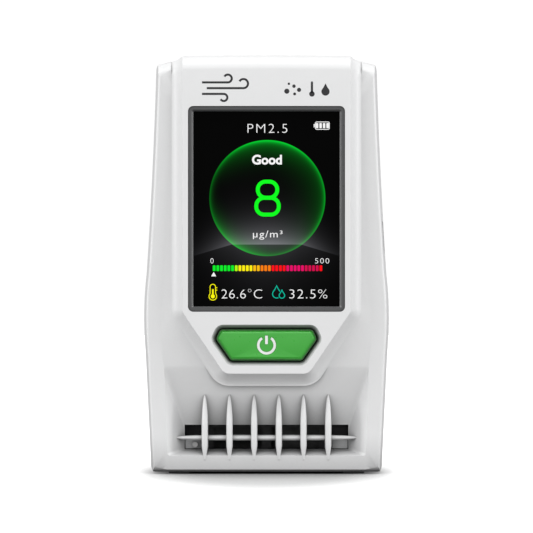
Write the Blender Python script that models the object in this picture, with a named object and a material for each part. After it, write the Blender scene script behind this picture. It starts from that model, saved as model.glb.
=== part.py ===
"""Handheld air quality monitor that stands upright on four rubber feet.

X runs to the right, the screen faces -Y and Z is up. The origin is at the middle of the base, on
the surface that the feet stand on. Sizes are in millimetres; new_object() turns them into metres.
"""

import math

import bmesh
import bpy

MM = 0.001

# ---- clearances ----------------------------------------------------------------------------------
GAP = 0.3             # between two pieces that touch
FIT = 0.25            # round a piece that sits or slides in an opening

# ---- outside of the case -------------------------------------------------------------------------
HEIGHT = 123.7        # base of the feet to the top of the centre band
FACE_Y = -17.0        # front of the centre band
WING_Y = -13.9        # front of the side wings, at their rim
BACK_Y = 17.0         # back of the rear cover
PARTING_Y = 1.0       # back edge of the front cover
WALL = 2.0
BASE_HALF = 34.35     # half widths of the outline at the base, the waist and the shoulder
WAIST_HALF = 36.6
SHOULDER_HALF = 32.85
WAIST_Z = 47.0
WAIST_ROUND = 12.0    # half the height over which the waist's kink is rounded
SIDE_BOW = 0.8        # how far the upper side bows in from a straight line
RIM_DRAFT = 0.9       # the front rim stands in from the parting line by this much
RIM_ROUND = 0.8
DISH = 0.45           # the wing sinks this far below its rim
DISH_RUN = 3.4
BACK_DRAFT = 0.8
BACK_ROUND = 3.0
TOP_ROUND = 4.4
BASE_ROUND = 2.0
WING_DROP = 1.7       # the wing's top is this far below the band's, where the cove ends
SHOULDER_DROP = 2.6   # and this far below it at the shoulder corner
CORNER = 1.3          # corner radius of the outline at shoulder and base

# ---- centre band and its cove --------------------------------------------------------------------
BAND_HALF = 24.8
BAND_BEND_Z = 47.9    # where the band's edges turn in towards the funnel
FUNNEL_HALF = 12.4
FUNNEL_Z = 29.7
FUNNEL_CORNER = 3.0
COVE_RUN = 3.5        # how far the cove reaches out from the band's edge
COVE_SAG = 0.7
COVE_BITE = 0.08      # the cove's foot runs this far under the wing's surface
COVE_FOOT = 3.7       # behind the cove the band's foot goes straight back, this far out

# ---- screen --------------------------------------------------------------------------------------
SCREEN_W = 43.2
SCREEN_H = 57.6
SCREEN_Z = 78.3
BEZEL_RIM = 1.3
BEZEL_CORNER = 1.3
BEZEL_SINK = 0.35     # the bezel's front is this far behind the band's face
BEZEL_CHAMFER = 0.5
FLANGE_OUT = 0.9
FLANGE_T = 0.8
WINDOW_T = 1.0
WINDOW_LAP = 0.7      # the window reaches this far behind the bezel's rim
GASKET_T = 0.6
PANEL_W = 48.8
PANEL_H = 68.6
PANEL_T = 1.2
PANEL_BOTTOM = 47.1
BACKLIGHT_T = 1.5
RIBBON_W = 18.0
RIBBON_T = 0.3

# ---- power button --------------------------------------------------------------------------------
BUTTON_TOP_Z = 42.3
BUTTON_SIDE_Z = 39.9
BUTTON_BOTTOM_Z = 33.9
BUTTON_TOP_HALF = 13.4
BUTTON_SIDE_HALF = 14.5
BUTTON_BOTTOM_HALF = 10.3
BUTTON_SINK = 0.55
BUTTON_CHAMFER = 0.7
BUTTON_CORNER = 1.0
BUTTON_FIT = 0.4      # round the button, at the foot of its recess
RECESS_OUT = 1.6      # how far the recess's slope reaches out round the button
RECESS_DEPTH = 2.8
RECESS_WALL = 3.1     # thickness of the cover round the button
RECESS_RIM = 1.0      # the thick part runs this far past the recess
BUTTON_TRAVEL = 0.5
MARK_Z = 38.1
MARK_R = 2.8
MARK_STROKE = 0.75
MARK_GAP_DEG = 33.0   # half of the opening at the top of the ring
MARK_BAR_TOP = 2.8
MARK_BAR_LOW = 0.3
MARK_DEPTH = 0.5
MARK_FIT = 0.08
STEM_R = 2.2
STEM_L = 0.5
PLUNGER_R = 1.75
PLUNGER_LAP = 0.8     # how far the plunger reaches into the switch at rest
PLUNGER_SPARE = 0.3   # travel left in the switch when the button is fully in
SWITCH_HALF = 3.1
SWITCH_T = 3.3

# ---- air intake ----------------------------------------------------------------------------------
SCOOP_TOP_Z = 34.4
SCOOP_BOTTOM_Z = 5.2
SCOOP_TOP_HALF = 30.8
SCOOP_BOTTOM_HALF = 29.8
SCOOP_DEPTH = 5.5
RAMP_EASE = 1.15      # above 1 the ramp starts more gently than it ends
SLOT_TOP_Z = 14.4
SLOT_BOTTOM_Z = 7.1
SCOOP_CORNER = 0.9
FIN_COUNT = 6
FIN_PITCH = 7.3
FIN_TIP_Z = 23.4
FIN_FOOT_Z = 5.6
FIN_HALF = 0.95
FIN_FOOT_HALF = 0.55
FIN_PROUD = 0.3       # the fins' front edges stop this far behind the wing's rim
BAR_Z = 10.6
BAR_HALF_H = 0.85
BAR_HALF_L = 27.5
BAR_SINK = 2.0        # the bar's front is this far behind the wing's rim
BAR_DEPTH = 2.6

# ---- particle sensor -----------------------------------------------------------------------------
INTAKE_T = 0.8
INTAKE_HALF = 26.2
INTAKE_LOW_HALF = 17.2
INTAKE_STEP_Z = 9.9
INTAKE_PAD_SINK = 0.5  # the frame's two raised pads stop this far behind the ramp's foot
SCREW_HEAD_R = 0.85
SCREW_HEAD_T = 0.6
SCREW_SHANK_R = 0.5
INTAKE_SCREW_X = -21.2
INTAKE_SCREW_Z = 8.5
FOAM_T = 2.4
SENSOR_HALF = 23.5
SENSOR_TOP_Z = 38.5
SENSOR_DEPTH = 12.0
SENSOR_WALL = 1.2
LID_T = 1.2
FAN_X = -8.5
FAN_Z = 20.0
FAN_R = 9.2
FAN_FRAME_HALF = 10.4
FAN_T = 6.0
FAN_TIP_GAP = 0.5
FAN_HUB_R = 3.6
FAN_BLADES = 7

# ---- boards --------------------------------------------------------------------------------------
BOARD_STANDOFF = 2.1  # the board's front is this far behind the backlight
BOARD_T = 1.6
BOARD_HALF = 29.8
BOARD_LOW_Z = 46.0
BOARD_HIGH_Z = 104.0
TONGUE_HALF = 15.0
TONGUE_Z = 31.0
NECK_HALF = 25.0
NECK_Z = 116.5
BOARD_SCREW_X = 27.6
BOARD_SCREW_ZS = (56.0, 97.0)
PORT_Z = 70.0
PORT_W = 9.0
PORT_H = 3.2
PORT_L = 7.4
PORT_INSET = 0.6      # the port's mouth is this far inside the case's side
PORT_OVERHANG = 3.4   # the port's mouth stands out from the board's tab by this much
PORT_TAB = 2.0        # the tab runs past the port by this much above and below

# ---- battery, fixings, feet ----------------------------------------------------------------------
BATTERY_W = 34.0
BATTERY_H = 50.0
BATTERY_T = 6.0
BATTERY_Z = 80.0
PAD_T = 0.5
TOP_SCREW_X = 28.2
TOP_SCREW_Z = 113.0
LOW_SCREW_X = 29.4
LOW_SCREW_Z = 10.0
POST_R = 3.0
REAR_POST_R = 3.9
CASE_SCREW_HEAD_R = 2.5
CASE_SCREW_HEAD_T = 1.8
CASE_SCREW_SHANK_R = 1.0
CASE_SCREW_SINK = 2.0
CASE_SCREW_REACH = 7.0
FOOT_R = 3.0
FOOT_X = 26.0
FOOT_FRONT_Y = -8.0
FOOT_REAR_Y = 9.0
FOOT_T = 1.0
FOOT_PROUD = 0.6      # the base of the case is this far above the surface
LIP_T = 1.0           # the rear cover's inner lip, which closes the seam between the covers
LIP_INSET = 0.75      # its outside stands in from the inside of the wall by this much
LIP_REACH = 1.5       # and it reaches this far forward of the front cover's edge
VENT_COUNT = 6
VENT_PITCH = 3.6
VENT_W = 1.6
VENT_LOW_Z = 15.6     # above the line of sight through the air intake
VENT_HIGH_Z = 28.0

# ---- smoothness of the curves --------------------------------------------------------------------
ARC_STEPS = 5
RAMP_STEPS = 5
ROUND_SIDES = 28
SMALL_SIDES = 16
SHARP_DEG = 30.0
OUTSIDE = 5.0         # how far a cutter runs past what it cuts
ROUND_LEAD = 0.02     # an edge's rounding starts this far in front of the face it runs into

CASE_WHITE = ("case_white", (0.80, 0.81, 0.82), 0.42, 0.0)
FRAME_GREY = ("frame_grey", (0.07, 0.075, 0.08), 0.35, 0.0)
SCREEN_BLACK = ("screen_black", (0.008, 0.01, 0.012), 0.12, 0.0)
BUTTON_GREEN = ("button_green", (0.06, 0.42, 0.08), 0.38, 0.0)
MARK_WHITE = ("mark_white", (0.9, 0.92, 0.9), 0.4, 0.0)
INNER_GREY = ("inner_grey", (0.52, 0.53, 0.54), 0.5, 0.0)
BLACK_PLASTIC = ("black_plastic", (0.018, 0.018, 0.02), 0.5, 0.0)
RUBBER_BLACK = ("rubber_black", (0.025, 0.025, 0.027), 0.8, 0.0)
FOAM_BLACK = ("foam_black", (0.03, 0.03, 0.032), 0.95, 0.0)
BOARD_GREEN = ("board_green", (0.015, 0.12, 0.045), 0.4, 0.0)
STEEL = ("steel", (0.6, 0.6, 0.6), 0.3, 1.0)
RIBBON_AMBER = ("ribbon_amber", (0.5, 0.24, 0.04), 0.4, 0.0)
CELL_SILVER = ("cell_silver", (0.55, 0.56, 0.58), 0.35, 0.8)
BRASS = ("brass", (0.7, 0.5, 0.2), 0.3, 1.0)

# ---- values that follow from the ones above ------------------------------------------------------
BASE_Z = FOOT_PROUD
SENSOR_LOW_Z = BASE_Z + WALL + LIP_T + 2 * GAP
FACE_INNER_Y = FACE_Y + WALL
RAMP_Y = WING_Y + SCOOP_DEPTH
INTAKE_PAD_Y = RAMP_Y + INTAKE_PAD_SINK
BEZEL_W = SCREEN_W + 2 * BEZEL_RIM
BEZEL_H = SCREEN_H + 2 * BEZEL_RIM
BEZEL_FLANGE_Y = FACE_INNER_Y + GAP
WINDOW_BACK_Y = BEZEL_FLANGE_Y + FLANGE_T
WINDOW_FRONT_Y = WINDOW_BACK_Y - WINDOW_T
GASKET_Y = WINDOW_BACK_Y + GAP
PANEL_Y = GASKET_Y + GASKET_T + GAP
BACKLIGHT_Y = PANEL_Y + PANEL_T + GAP
BOARD_FRONT_Y = BACKLIGHT_Y + BACKLIGHT_T + BOARD_STANDOFF
BUTTON_FRONT_Y = FACE_Y + BUTTON_SINK
BUTTON_FLANGE_Y = FACE_Y + RECESS_WALL + GAP
STEM_END_Y = BUTTON_FLANGE_Y + FLANGE_T + STEM_L
PLUNGER_Y = STEM_END_Y + GAP
SWITCH_BACK_Y = BOARD_FRONT_Y - GAP
SWITCH_Y = SWITCH_BACK_Y - SWITCH_T
INTAKE_Y = RAMP_Y + WALL + GAP
FOAM_Y = INTAKE_Y + INTAKE_T + GAP
SENSOR_Y = FOAM_Y + FOAM_T + GAP
SENSOR_BACK_Y = SENSOR_Y + SENSOR_DEPTH
BOARD_BACK_Y = BOARD_FRONT_Y + BOARD_T
CHIP_Y = BOARD_BACK_Y + GAP
REAR_FRONT_Y = PARTING_Y + GAP
REAR_INNER_Y = BACK_Y - WALL
PAD_Y = REAR_INNER_Y - GAP - PAD_T
BATTERY_Y = PAD_Y - GAP - BATTERY_T


# ---- outlines: lists of (x, z) or (x, y) points, anticlockwise ----------------------------------
def arc(centre, radius, start_deg, end_deg, steps=ARC_STEPS):
    """Points along a circle's arc, both ends included."""
    points = []
    for step in range(steps + 1):
        angle = math.radians(start_deg + (end_deg - start_deg) * step / steps)
        points.append((centre[0] + radius * math.cos(angle), centre[1] + radius * math.sin(angle)))
    return points


def circle(centre, radius, sides=ROUND_SIDES):
    """A full circle of points."""
    return arc(centre, radius, 0.0, 360.0, sides)[:-1]


def rectangle(left, right, low, high):
    """Four corners of a rectangle."""
    return [(left, low), (right, low), (right, high), (left, high)]


def offset(points, distance):
    """A convex outline with each side moved out by a distance."""
    count = len(points)
    lines = []
    for index in range(count):
        ax, ay = points[index]
        bx, by = points[(index + 1) % count]
        length = math.hypot(bx - ax, by - ay)
        nx, ny = (by - ay) / length, -(bx - ax) / length
        lines.append((nx, ny, nx * ax + ny * ay + distance))
    moved = []
    for index in range(count):
        n1x, n1y, c1 = lines[index - 1]
        n2x, n2y, c2 = lines[index]
        det = n1x * n2y - n2x * n1y
        moved.append(((c1 * n2y - c2 * n1y) / det, (n1x * c2 - n2x * c1) / det))
    return moved


def rounded(points, radius, steps=ARC_STEPS):
    """A convex outline with every corner rounded."""
    count = len(points)
    result = []
    for index in range(count):
        px, py = points[index - 1]
        cx, cy = points[index]
        nx, ny = points[(index + 1) % count]
        in_angle = math.atan2(cy - py, cx - px)
        turn = (math.atan2(ny - cy, nx - cx) - in_angle) % (2 * math.pi)
        reach = radius * math.tan(turn / 2)
        start = (cx - reach * math.cos(in_angle), cy - reach * math.sin(in_angle))
        centre = (start[0] - radius * math.sin(in_angle), start[1] + radius * math.cos(in_angle))
        first = math.degrees(in_angle) - 90.0
        result += arc(centre, radius, first, first + math.degrees(turn), steps)
    return result


def rounded_box_outline(half_w, half_h, middle_z, radius):
    """A rectangle about the middle line with round corners."""
    corners = rectangle(-half_w, half_w, middle_z - half_h, middle_z + half_h)
    return rounded(corners, radius)


def half_width(z):
    """Half width of the case's outline at a height."""
    lower = BASE_HALF + (WAIST_HALF - BASE_HALF) * z / WAIST_Z
    share = (z - WAIST_Z) / (HEIGHT - SHOULDER_DROP - WAIST_Z)
    upper = WAIST_HALF + (SHOULDER_HALF - WAIST_HALF) * share - 4 * SIDE_BOW * share * (1 - share) / 2
    if z < WAIST_Z - WAIST_ROUND:
        return lower
    if z > WAIST_Z + WAIST_ROUND:
        return upper
    mix = (z - WAIST_Z + WAIST_ROUND) / (2 * WAIST_ROUND)
    return lower * (1 - mix) ** 2 + 2 * mix * (1 - mix) * (WAIST_HALF - SIDE_BOW / 4) + upper * mix ** 2


def silhouette(inset, low, high, levels=18):
    """The case's outline between two heights, moved in at its sides."""
    right = []
    for level in range(levels + 1):
        z = low + (high - low) * level / levels
        right.append((half_width(z) - inset, z))
    return right + [(-x, z) for x, z in reversed(right)]


def band_outline(out):
    """The centre band and its funnel, open past the top of the case."""
    top = HEIGHT + 4 * OUTSIDE
    corners = [(-BAND_HALF, top), (-BAND_HALF, BAND_BEND_Z), (-FUNNEL_HALF, FUNNEL_Z)]
    corners += [(-x, z) for x, z in reversed(corners)]
    return rounded(offset(corners, out), max(FUNNEL_CORNER + out, 0.2))


def button_outline(out):
    """The power button's six sides."""
    right = [(BUTTON_BOTTOM_HALF, BUTTON_BOTTOM_Z), (BUTTON_SIDE_HALF, BUTTON_SIDE_Z)]
    right.append((BUTTON_TOP_HALF, BUTTON_TOP_Z))
    corners = right + [(-x, z) for x, z in reversed(right)]
    return rounded(offset(corners, out), max(BUTTON_CORNER + out, 0.2), 3)


# ---- solids --------------------------------------------------------------------------------------
def new_object(name, mesh_builder):
    """Link an object whose mesh is in metres."""
    bmesh.ops.recalc_face_normals(mesh_builder, faces=mesh_builder.faces)
    bmesh.ops.scale(mesh_builder, vec=(MM, MM, MM), verts=mesh_builder.verts)
    mesh = bpy.data.meshes.new(name)
    mesh_builder.to_mesh(mesh)
    mesh_builder.free()
    item = bpy.data.objects.new(name, mesh)
    bpy.context.scene.collection.objects.link(item)
    return item


def loft(name, rings):
    """A closed solid through rings of equal point counts, flat at both ends."""
    builder = bmesh.new()
    loops = [[builder.verts.new(point) for point in ring] for ring in rings]
    count = len(rings[0])
    for low, high in zip(loops, loops[1:]):
        for index in range(count):
            after = (index + 1) % count
            builder.faces.new((low[index], low[after], high[after], high[index]))
    builder.faces.new(list(reversed(loops[0])))
    builder.faces.new(loops[-1])
    return new_object(name, builder)


def loft_y(name, layers):
    """A solid through (x, z) outlines, each at its own y."""
    return loft(name, [[(x, y, z) for x, z in outline] for y, outline in layers])


def prism(name, outline, front, back):
    """An (x, z) outline pushed from front to back."""
    return loft_y(name, [(front, outline), (back, outline)])


def block(name, left, right, front, back, low, high):
    """A plain box."""
    return prism(name, rectangle(left, right, low, high), front, back)


def rod_y(name, x, z, radius, front, back, sides=SMALL_SIDES):
    """A round bar along Y."""
    return prism(name, circle((x, z), radius, sides), front, back)


def rod_z(name, x, y, radius, low, high, sides=SMALL_SIDES):
    """A round bar along Z."""
    outline = circle((x, y), radius, sides)
    return loft(name, [[(px, py, z) for px, py in outline] for z in (low, high)])


def combine(item, others, operation):
    """Run Booleans and keep the result as the object's own mesh."""
    for other in others:
        modifier = item.modifiers.new("combine", "BOOLEAN")
        modifier.operation = operation
        modifier.solver = "EXACT"
        modifier.object = other
        bpy.context.view_layer.update()
        graph = bpy.context.evaluated_depsgraph_get()
        result = bpy.data.meshes.new_from_object(item.evaluated_get(graph))
        item.modifiers.clear()
        old = item.data
        item.data = result
        result.name = item.name
        bpy.data.meshes.remove(old)
        bpy.data.objects.remove(other)
    return item


def cut(item, *others):
    """Take solids away."""
    return combine(item, others, "DIFFERENCE")


def join(item, *others):
    """Add solids."""
    return combine(item, others, "UNION")


def keep(item, *others):
    """Keep what lies inside the other solids too."""
    return combine(item, others, "INTERSECT")


def finish(item, look):
    """Give a piece its material and smooth shading."""
    name, colour, roughness, metallic = look
    material = bpy.data.materials.get(name)
    if material is None:
        material = bpy.data.materials.new(name)
        material.use_nodes = True
        shader = material.node_tree.nodes["Principled BSDF"]
        shader.inputs["Base Color"].default_value = (*colour, 1.0)
        shader.inputs["Roughness"].default_value = roughness
        shader.inputs["Metallic"].default_value = metallic
    item.data.materials.clear()
    item.data.materials.append(material)
    item.data.shade_smooth()
    item.data.set_sharp_from_angle(angle=math.radians(SHARP_DEG))
    return item


def set_origin(item, x, y, z):
    """Move an object's origin onto its joint's axis and leave its shape where it is."""
    for vertex in item.data.vertices:
        vertex.co.x -= x * MM
        vertex.co.y -= y * MM
        vertex.co.z -= z * MM
    item.location = (x * MM, y * MM, z * MM)


# ---- case ----------------------------------------------------------------------------------------
def cove(out):
    """How far the surface falls back at a distance out from the band's edge."""
    share = min(max(out / COVE_RUN, 0.0), 1.0)
    drop = WING_Y - FACE_Y + DISH + COVE_BITE
    return drop * share + 4 * COVE_SAG * share * (1 - share)


def side_profile(x, top, base, front):
    """The case seen from its side at one x: a closed loop of (x, y, z) points."""
    far = FACE_Y - OUTSIDE
    front_edge = front - ROUND_LEAD
    base_edge = WING_Y - ROUND_LEAD
    loop = [(far, base + BASE_ROUND + OUTSIDE / 8)]
    loop += arc((base_edge + BASE_ROUND, base + BASE_ROUND), BASE_ROUND, 180.0, 270.0)
    loop += arc((BACK_Y - BASE_ROUND, base + BASE_ROUND), BASE_ROUND, 270.0, 360.0)
    loop += arc((BACK_Y - TOP_ROUND, top - TOP_ROUND), TOP_ROUND, 0.0, 90.0)
    loop += arc((front_edge + TOP_ROUND, top - TOP_ROUND), TOP_ROUND, 90.0, 180.0)
    loop.append((far, top - TOP_ROUND - OUTSIDE / 8))
    return [(x, y, z) for y, z in loop]


def side_sections():
    """(x, drop of the top, rise of the base, front y) from the middle line outwards."""
    cove_end = BAND_HALF + COVE_RUN
    shoulder = SHOULDER_HALF - CORNER
    sections = [(0.0, 0.0, 0.0, FACE_Y), (BAND_HALF, 0.25, 0.0, FACE_Y)]
    for step in range(1, ARC_STEPS):
        out = COVE_RUN * step / ARC_STEPS
        share = cove(out) / cove(COVE_RUN)
        sections.append((BAND_HALF + out, 0.25 + (WING_DROP - 0.25) * share, 0.0, FACE_Y + cove(out)))
    sections.append((cove_end, WING_DROP, 0.0, WING_Y))
    for angle in (0.0, 30.0, 60.0, 85.0):
        turn = math.radians(angle)
        x = shoulder + CORNER * math.sin(turn)
        sections.append((x, SHOULDER_DROP + CORNER * (1 - math.cos(turn)), 0.0, WING_Y))
    low_corner = BASE_HALF - CORNER
    for angle in (20.0, 50.0, 85.0):
        turn = math.radians(angle)
        x = low_corner + CORNER * math.sin(turn)
        drop = SHOULDER_DROP + CORNER + 4 * (x - SHOULDER_HALF)
        sections.append((x, drop, CORNER * (1 - math.cos(turn)), WING_Y))
    far = WAIST_HALF + OUTSIDE
    sections.append((far, SHOULDER_DROP + CORNER + 4 * (far - SHOULDER_HALF), 4 * CORNER, WING_Y))
    return sections


def profile_solid(name):
    """The case's top, base, front and back edges as one solid lofted from side to side."""
    right = side_sections()
    every = [(-x, drop, rise, front) for x, drop, rise, front in reversed(right[1:])] + right
    rings = [side_profile(x, HEIGHT - drop, BASE_Z + rise, front) for x, drop, rise, front in every]
    return loft(name, rings)


def wing_layers():
    """Outlines of the case's body from the parting line to the dished front."""
    low, high = -OUTSIDE, HEIGHT + OUTSIDE
    layers = [(PARTING_Y, silhouette(0.0, low, high))]
    for inset_share, y in arc((RIM_ROUND, WING_Y + RIM_ROUND), RIM_ROUND, 180.0, 270.0, 3):
        layers.append((y, silhouette(RIM_DRAFT + inset_share, low, high)))
    inset = RIM_DRAFT + RIM_ROUND + DISH_RUN
    layers.append((WING_Y + DISH, silhouette(inset, low + DISH_RUN, high - DISH_RUN)))
    return layers


def pad_layers():
    """Outlines of the raised band from its foot to its face."""
    layers = [(WING_Y + 2 * OUTSIDE, band_outline(COVE_FOOT))]
    for step in range(ARC_STEPS + 1):
        reach = COVE_RUN * (1 - step / ARC_STEPS)
        layers.append((FACE_Y + cove(reach), band_outline(reach)))
    return layers


def ramp_depth(z):
    """Depth of the scoop's ramp below the wing at a height."""
    share = (SCOOP_TOP_Z - z) / (SCOOP_TOP_Z - SLOT_TOP_Z)
    return SCOOP_DEPTH * min(max(share, 0.0), 1.0) ** RAMP_EASE


def scoop_ring(depth, out):
    """The scoop's outline at a depth below the wing."""
    share = min(max(depth / SCOOP_DEPTH, 0.0), 1.0) ** (1.0 / RAMP_EASE)
    top = SCOOP_TOP_Z - (SCOOP_TOP_Z - SLOT_TOP_Z) * share + min(depth, 0.0) * -2.0
    bottom = SCOOP_BOTTOM_Z + (SLOT_BOTTOM_Z - SCOOP_BOTTOM_Z) * depth / SCOOP_DEPTH
    slant = (SCOOP_TOP_HALF - SCOOP_BOTTOM_HALF) / (SCOOP_TOP_Z - SCOOP_BOTTOM_Z)
    top_half = SCOOP_TOP_HALF - slant * (SCOOP_TOP_Z - top) - depth
    low_half = SCOOP_BOTTOM_HALF - depth
    corners = [(-low_half, bottom), (low_half, bottom), (top_half, top), (-top_half, top)]
    return rounded(offset(corners, out), SCOOP_CORNER + out, 3)


def scoop_solid(name, out, sink, lead):
    """The scoop's hollow, or with out and sink its outer wall."""
    layers = [(WING_Y - lead, scoop_ring(-lead, out))]
    for step in range(RAMP_STEPS + 1):
        depth = SCOOP_DEPTH * step / RAMP_STEPS
        layers.append((WING_Y + depth + sink, scoop_ring(depth, out)))
    solid = loft_y(name, layers)
    return cut(solid, prism("foot", band_outline(COVE_FOOT - out), FACE_Y - OUTSIDE, PARTING_Y))


def fin(name, x):
    """One upright blade of the intake, pointed at its top."""
    rings = []
    foot = SCOOP_BOTTOM_Z - WALL / 2
    for step in range(11):
        share = step / 10
        z = foot + (FIN_TIP_Z - foot) * share
        taper = math.sqrt(max(1.0 - max((z - SLOT_TOP_Z) / (FIN_TIP_Z - SLOT_TOP_Z), 0.0) ** 1.7, 0.004))
        low = min(max((z - FIN_FOOT_Z) / (SLOT_BOTTOM_Z + 1.0 - FIN_FOOT_Z), 0.0), 1.0)
        half = (FIN_FOOT_HALF + (FIN_HALF - FIN_FOOT_HALF) * low) * taper
        floor = WING_Y + ramp_depth(z)
        proud = (floor - WING_Y - FIN_PROUD) * taper
        front = floor - proud
        back = floor + WALL / 2
        nose = arc((x, front + half), half, 180.0, 360.0, 6)
        rings.append([(px, py, z) for px, py in [(x - half, back)] + nose + [(x + half, back)]])
    return loft(name, rings)


def cross_bar(name):
    """The lens-shaped bar that runs behind the fins' front edges."""
    rings = []
    for step in range(-8, 9):
        share = step / 8
        taper = math.sqrt(1.0 - 0.995 * abs(share) ** 5)
        half = BAR_HALF_H * taper
        front = WING_Y + BAR_SINK + 0.8 * (1 - taper)
        middle_y = front + BAR_DEPTH / 2
        oval = [(middle_y + BAR_DEPTH / 2 * taper * a, BAR_Z + half * b) for a, b in circle((0, 0), 1, 12)]
        rings.append([(BAR_HALF_L * share, y, z) for y, z in oval])
    return loft(name, rings)


def front_hollow():
    """The inside of the front cover, before its posts and the scoop's wall are taken from it."""
    low, high = BASE_Z + WALL, HEIGHT - WING_DROP - WALL - 1.6
    inset = RIM_DRAFT + WALL
    wing_inner = WING_Y + DISH + WALL
    hollow = loft_y("front_hollow", [
        (wing_inner, silhouette(inset + 1.2, low + 0.8, high - 2.0)),
        (wing_inner + 1.0, silhouette(inset, low, high - 0.6)),
        (PARTING_Y + OUTSIDE, silhouette(WALL, low, high)),
    ])
    pocket_top = block("pocket_top", -BAND_HALF - OUTSIDE, BAND_HALF + OUTSIDE,
                       FACE_Y - OUTSIDE, PARTING_Y, FUNNEL_Z, high - 0.4)
    pocket = loft_y("pocket", [
        (FACE_INNER_Y, band_outline(BEZEL_W / 2 + FLANGE_OUT + GAP - BAND_HALF)),
        (wing_inner + 0.5, band_outline(COVE_RUN - WALL)),
        (wing_inner + WALL, band_outline(COVE_RUN - WALL)),
    ])
    keep(pocket, pocket_top)
    return join(hollow, pocket)


def screw_places():
    """(x, z) of the four screws that hold the covers together."""
    return [(-TOP_SCREW_X, TOP_SCREW_Z), (TOP_SCREW_X, TOP_SCREW_Z),
            (-LOW_SCREW_X, LOW_SCREW_Z), (LOW_SCREW_X, LOW_SCREW_Z)]


def board_screw_places():
    """(x, z) of the four screws that hold the main board."""
    return [(side * BOARD_SCREW_X, z) for z in BOARD_SCREW_ZS for side in (-1, 1)]


def make_front_cover():
    """The moulded front shell with its band, scoop, fins and posts."""
    cover = loft_y("front_cover", wing_layers())
    join(cover, loft_y("pad", pad_layers()))
    keep(cover, profile_solid("profile"))
    hollow = front_hollow()
    for x, z in screw_places():
        cut(hollow, rod_y("post", x, z, POST_R, WING_Y, PARTING_Y + 2 * OUTSIDE))
    for x, z in board_screw_places():
        cut(hollow, rod_y("post", x, z, 2.1, WING_Y, BOARD_FRONT_Y - GAP))
    cut(hollow, prism("rim", button_outline(RECESS_OUT + RECESS_RIM), FACE_Y, FACE_Y + RECESS_WALL))
    cut(hollow, scoop_solid("scoop_wall", WALL, WALL, OUTSIDE))
    cut(cover, hollow)
    cut(cover, scoop_solid("scoop", 0.0, 0.0, 1.2))
    slot_half = SCOOP_BOTTOM_HALF - SCOOP_DEPTH
    cut(cover, block("slot", -slot_half, slot_half, RAMP_Y - 0.5, RAMP_Y + OUTSIDE,
                     SLOT_BOTTOM_Z + 0.02, SLOT_TOP_Z - 0.02))
    middle = (FIN_COUNT - 1) / 2
    for index in range(FIN_COUNT):
        join(cover, fin("fin", (index - middle) * FIN_PITCH))
    join(cover, cross_bar("bar"))
    opening = rounded_box_outline(BEZEL_W / 2 + FIT, BEZEL_H / 2 + FIT, SCREEN_Z, BEZEL_CORNER + FIT)
    cut(cover, prism("opening", opening, FACE_Y - OUTSIDE, FACE_INNER_Y + 2.0))
    cut(cover, loft_y("recess", [
        (FACE_Y - 0.5, button_outline(RECESS_OUT + 0.5)),
        (FACE_Y + RECESS_DEPTH, button_outline(BUTTON_FIT)),
        (FACE_Y + RECESS_WALL + 2.0, button_outline(BUTTON_FIT)),
    ]))
    for x, z in screw_places():
        cut(cover, rod_y("pilot", x, z, CASE_SCREW_SHANK_R + FIT, PARTING_Y - CASE_SCREW_REACH - GAP,
                         PARTING_Y + OUTSIDE))
    for x, z in board_screw_places():
        cut(cover, rod_y("pilot", x, z, 0.8 + FIT, BOARD_FRONT_Y - 2.8, BOARD_FRONT_Y + OUTSIDE))
    port_low = BOARD_BACK_Y + GAP - FIT
    cut(cover, block("port_hole", half_width(PORT_Z) - 2 * WALL, half_width(PORT_Z) + OUTSIDE,
                     port_low, port_low + PORT_H + 2 * FIT,
                     PORT_Z - PORT_W / 2 - FIT, PORT_Z + PORT_W / 2 + FIT))
    for side in (-1, 1):
        cut(cover, rod_z("pocket", side * FOOT_X, FOOT_FRONT_Y, FOOT_R + FIT, -OUTSIDE,
                         FOOT_T + GAP, ROUND_SIDES))
    finish(cover, CASE_WHITE)


def rear_lip(floor, top):
    """A ring inside the front cover's wall, flared at its back to meet the rear cover's wall."""
    outer = silhouette(WALL + LIP_INSET, floor + GAP, top - LIP_INSET)
    root = silhouette(WALL / 2, floor - WALL / 2, top + WALL / 2)
    lip = loft_y("lip", [
        (PARTING_Y - LIP_REACH, outer),
        (REAR_FRONT_Y + LIP_T / 4, outer),
        (REAR_FRONT_Y + LIP_T, root),
        (REAR_FRONT_Y + 2 * LIP_T, root),
    ])
    inner = silhouette(WALL + LIP_INSET + LIP_T, floor + GAP + LIP_T, top - LIP_INSET - LIP_T)
    cut(lip, prism("inside", inner, PARTING_Y - 2 * LIP_REACH, REAR_FRONT_Y + 3 * LIP_T))
    for x, z in screw_places():
        cut(lip, rod_y("post", x, z, POST_R + GAP, PARTING_Y - 2 * LIP_REACH, REAR_FRONT_Y))
    return lip


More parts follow.
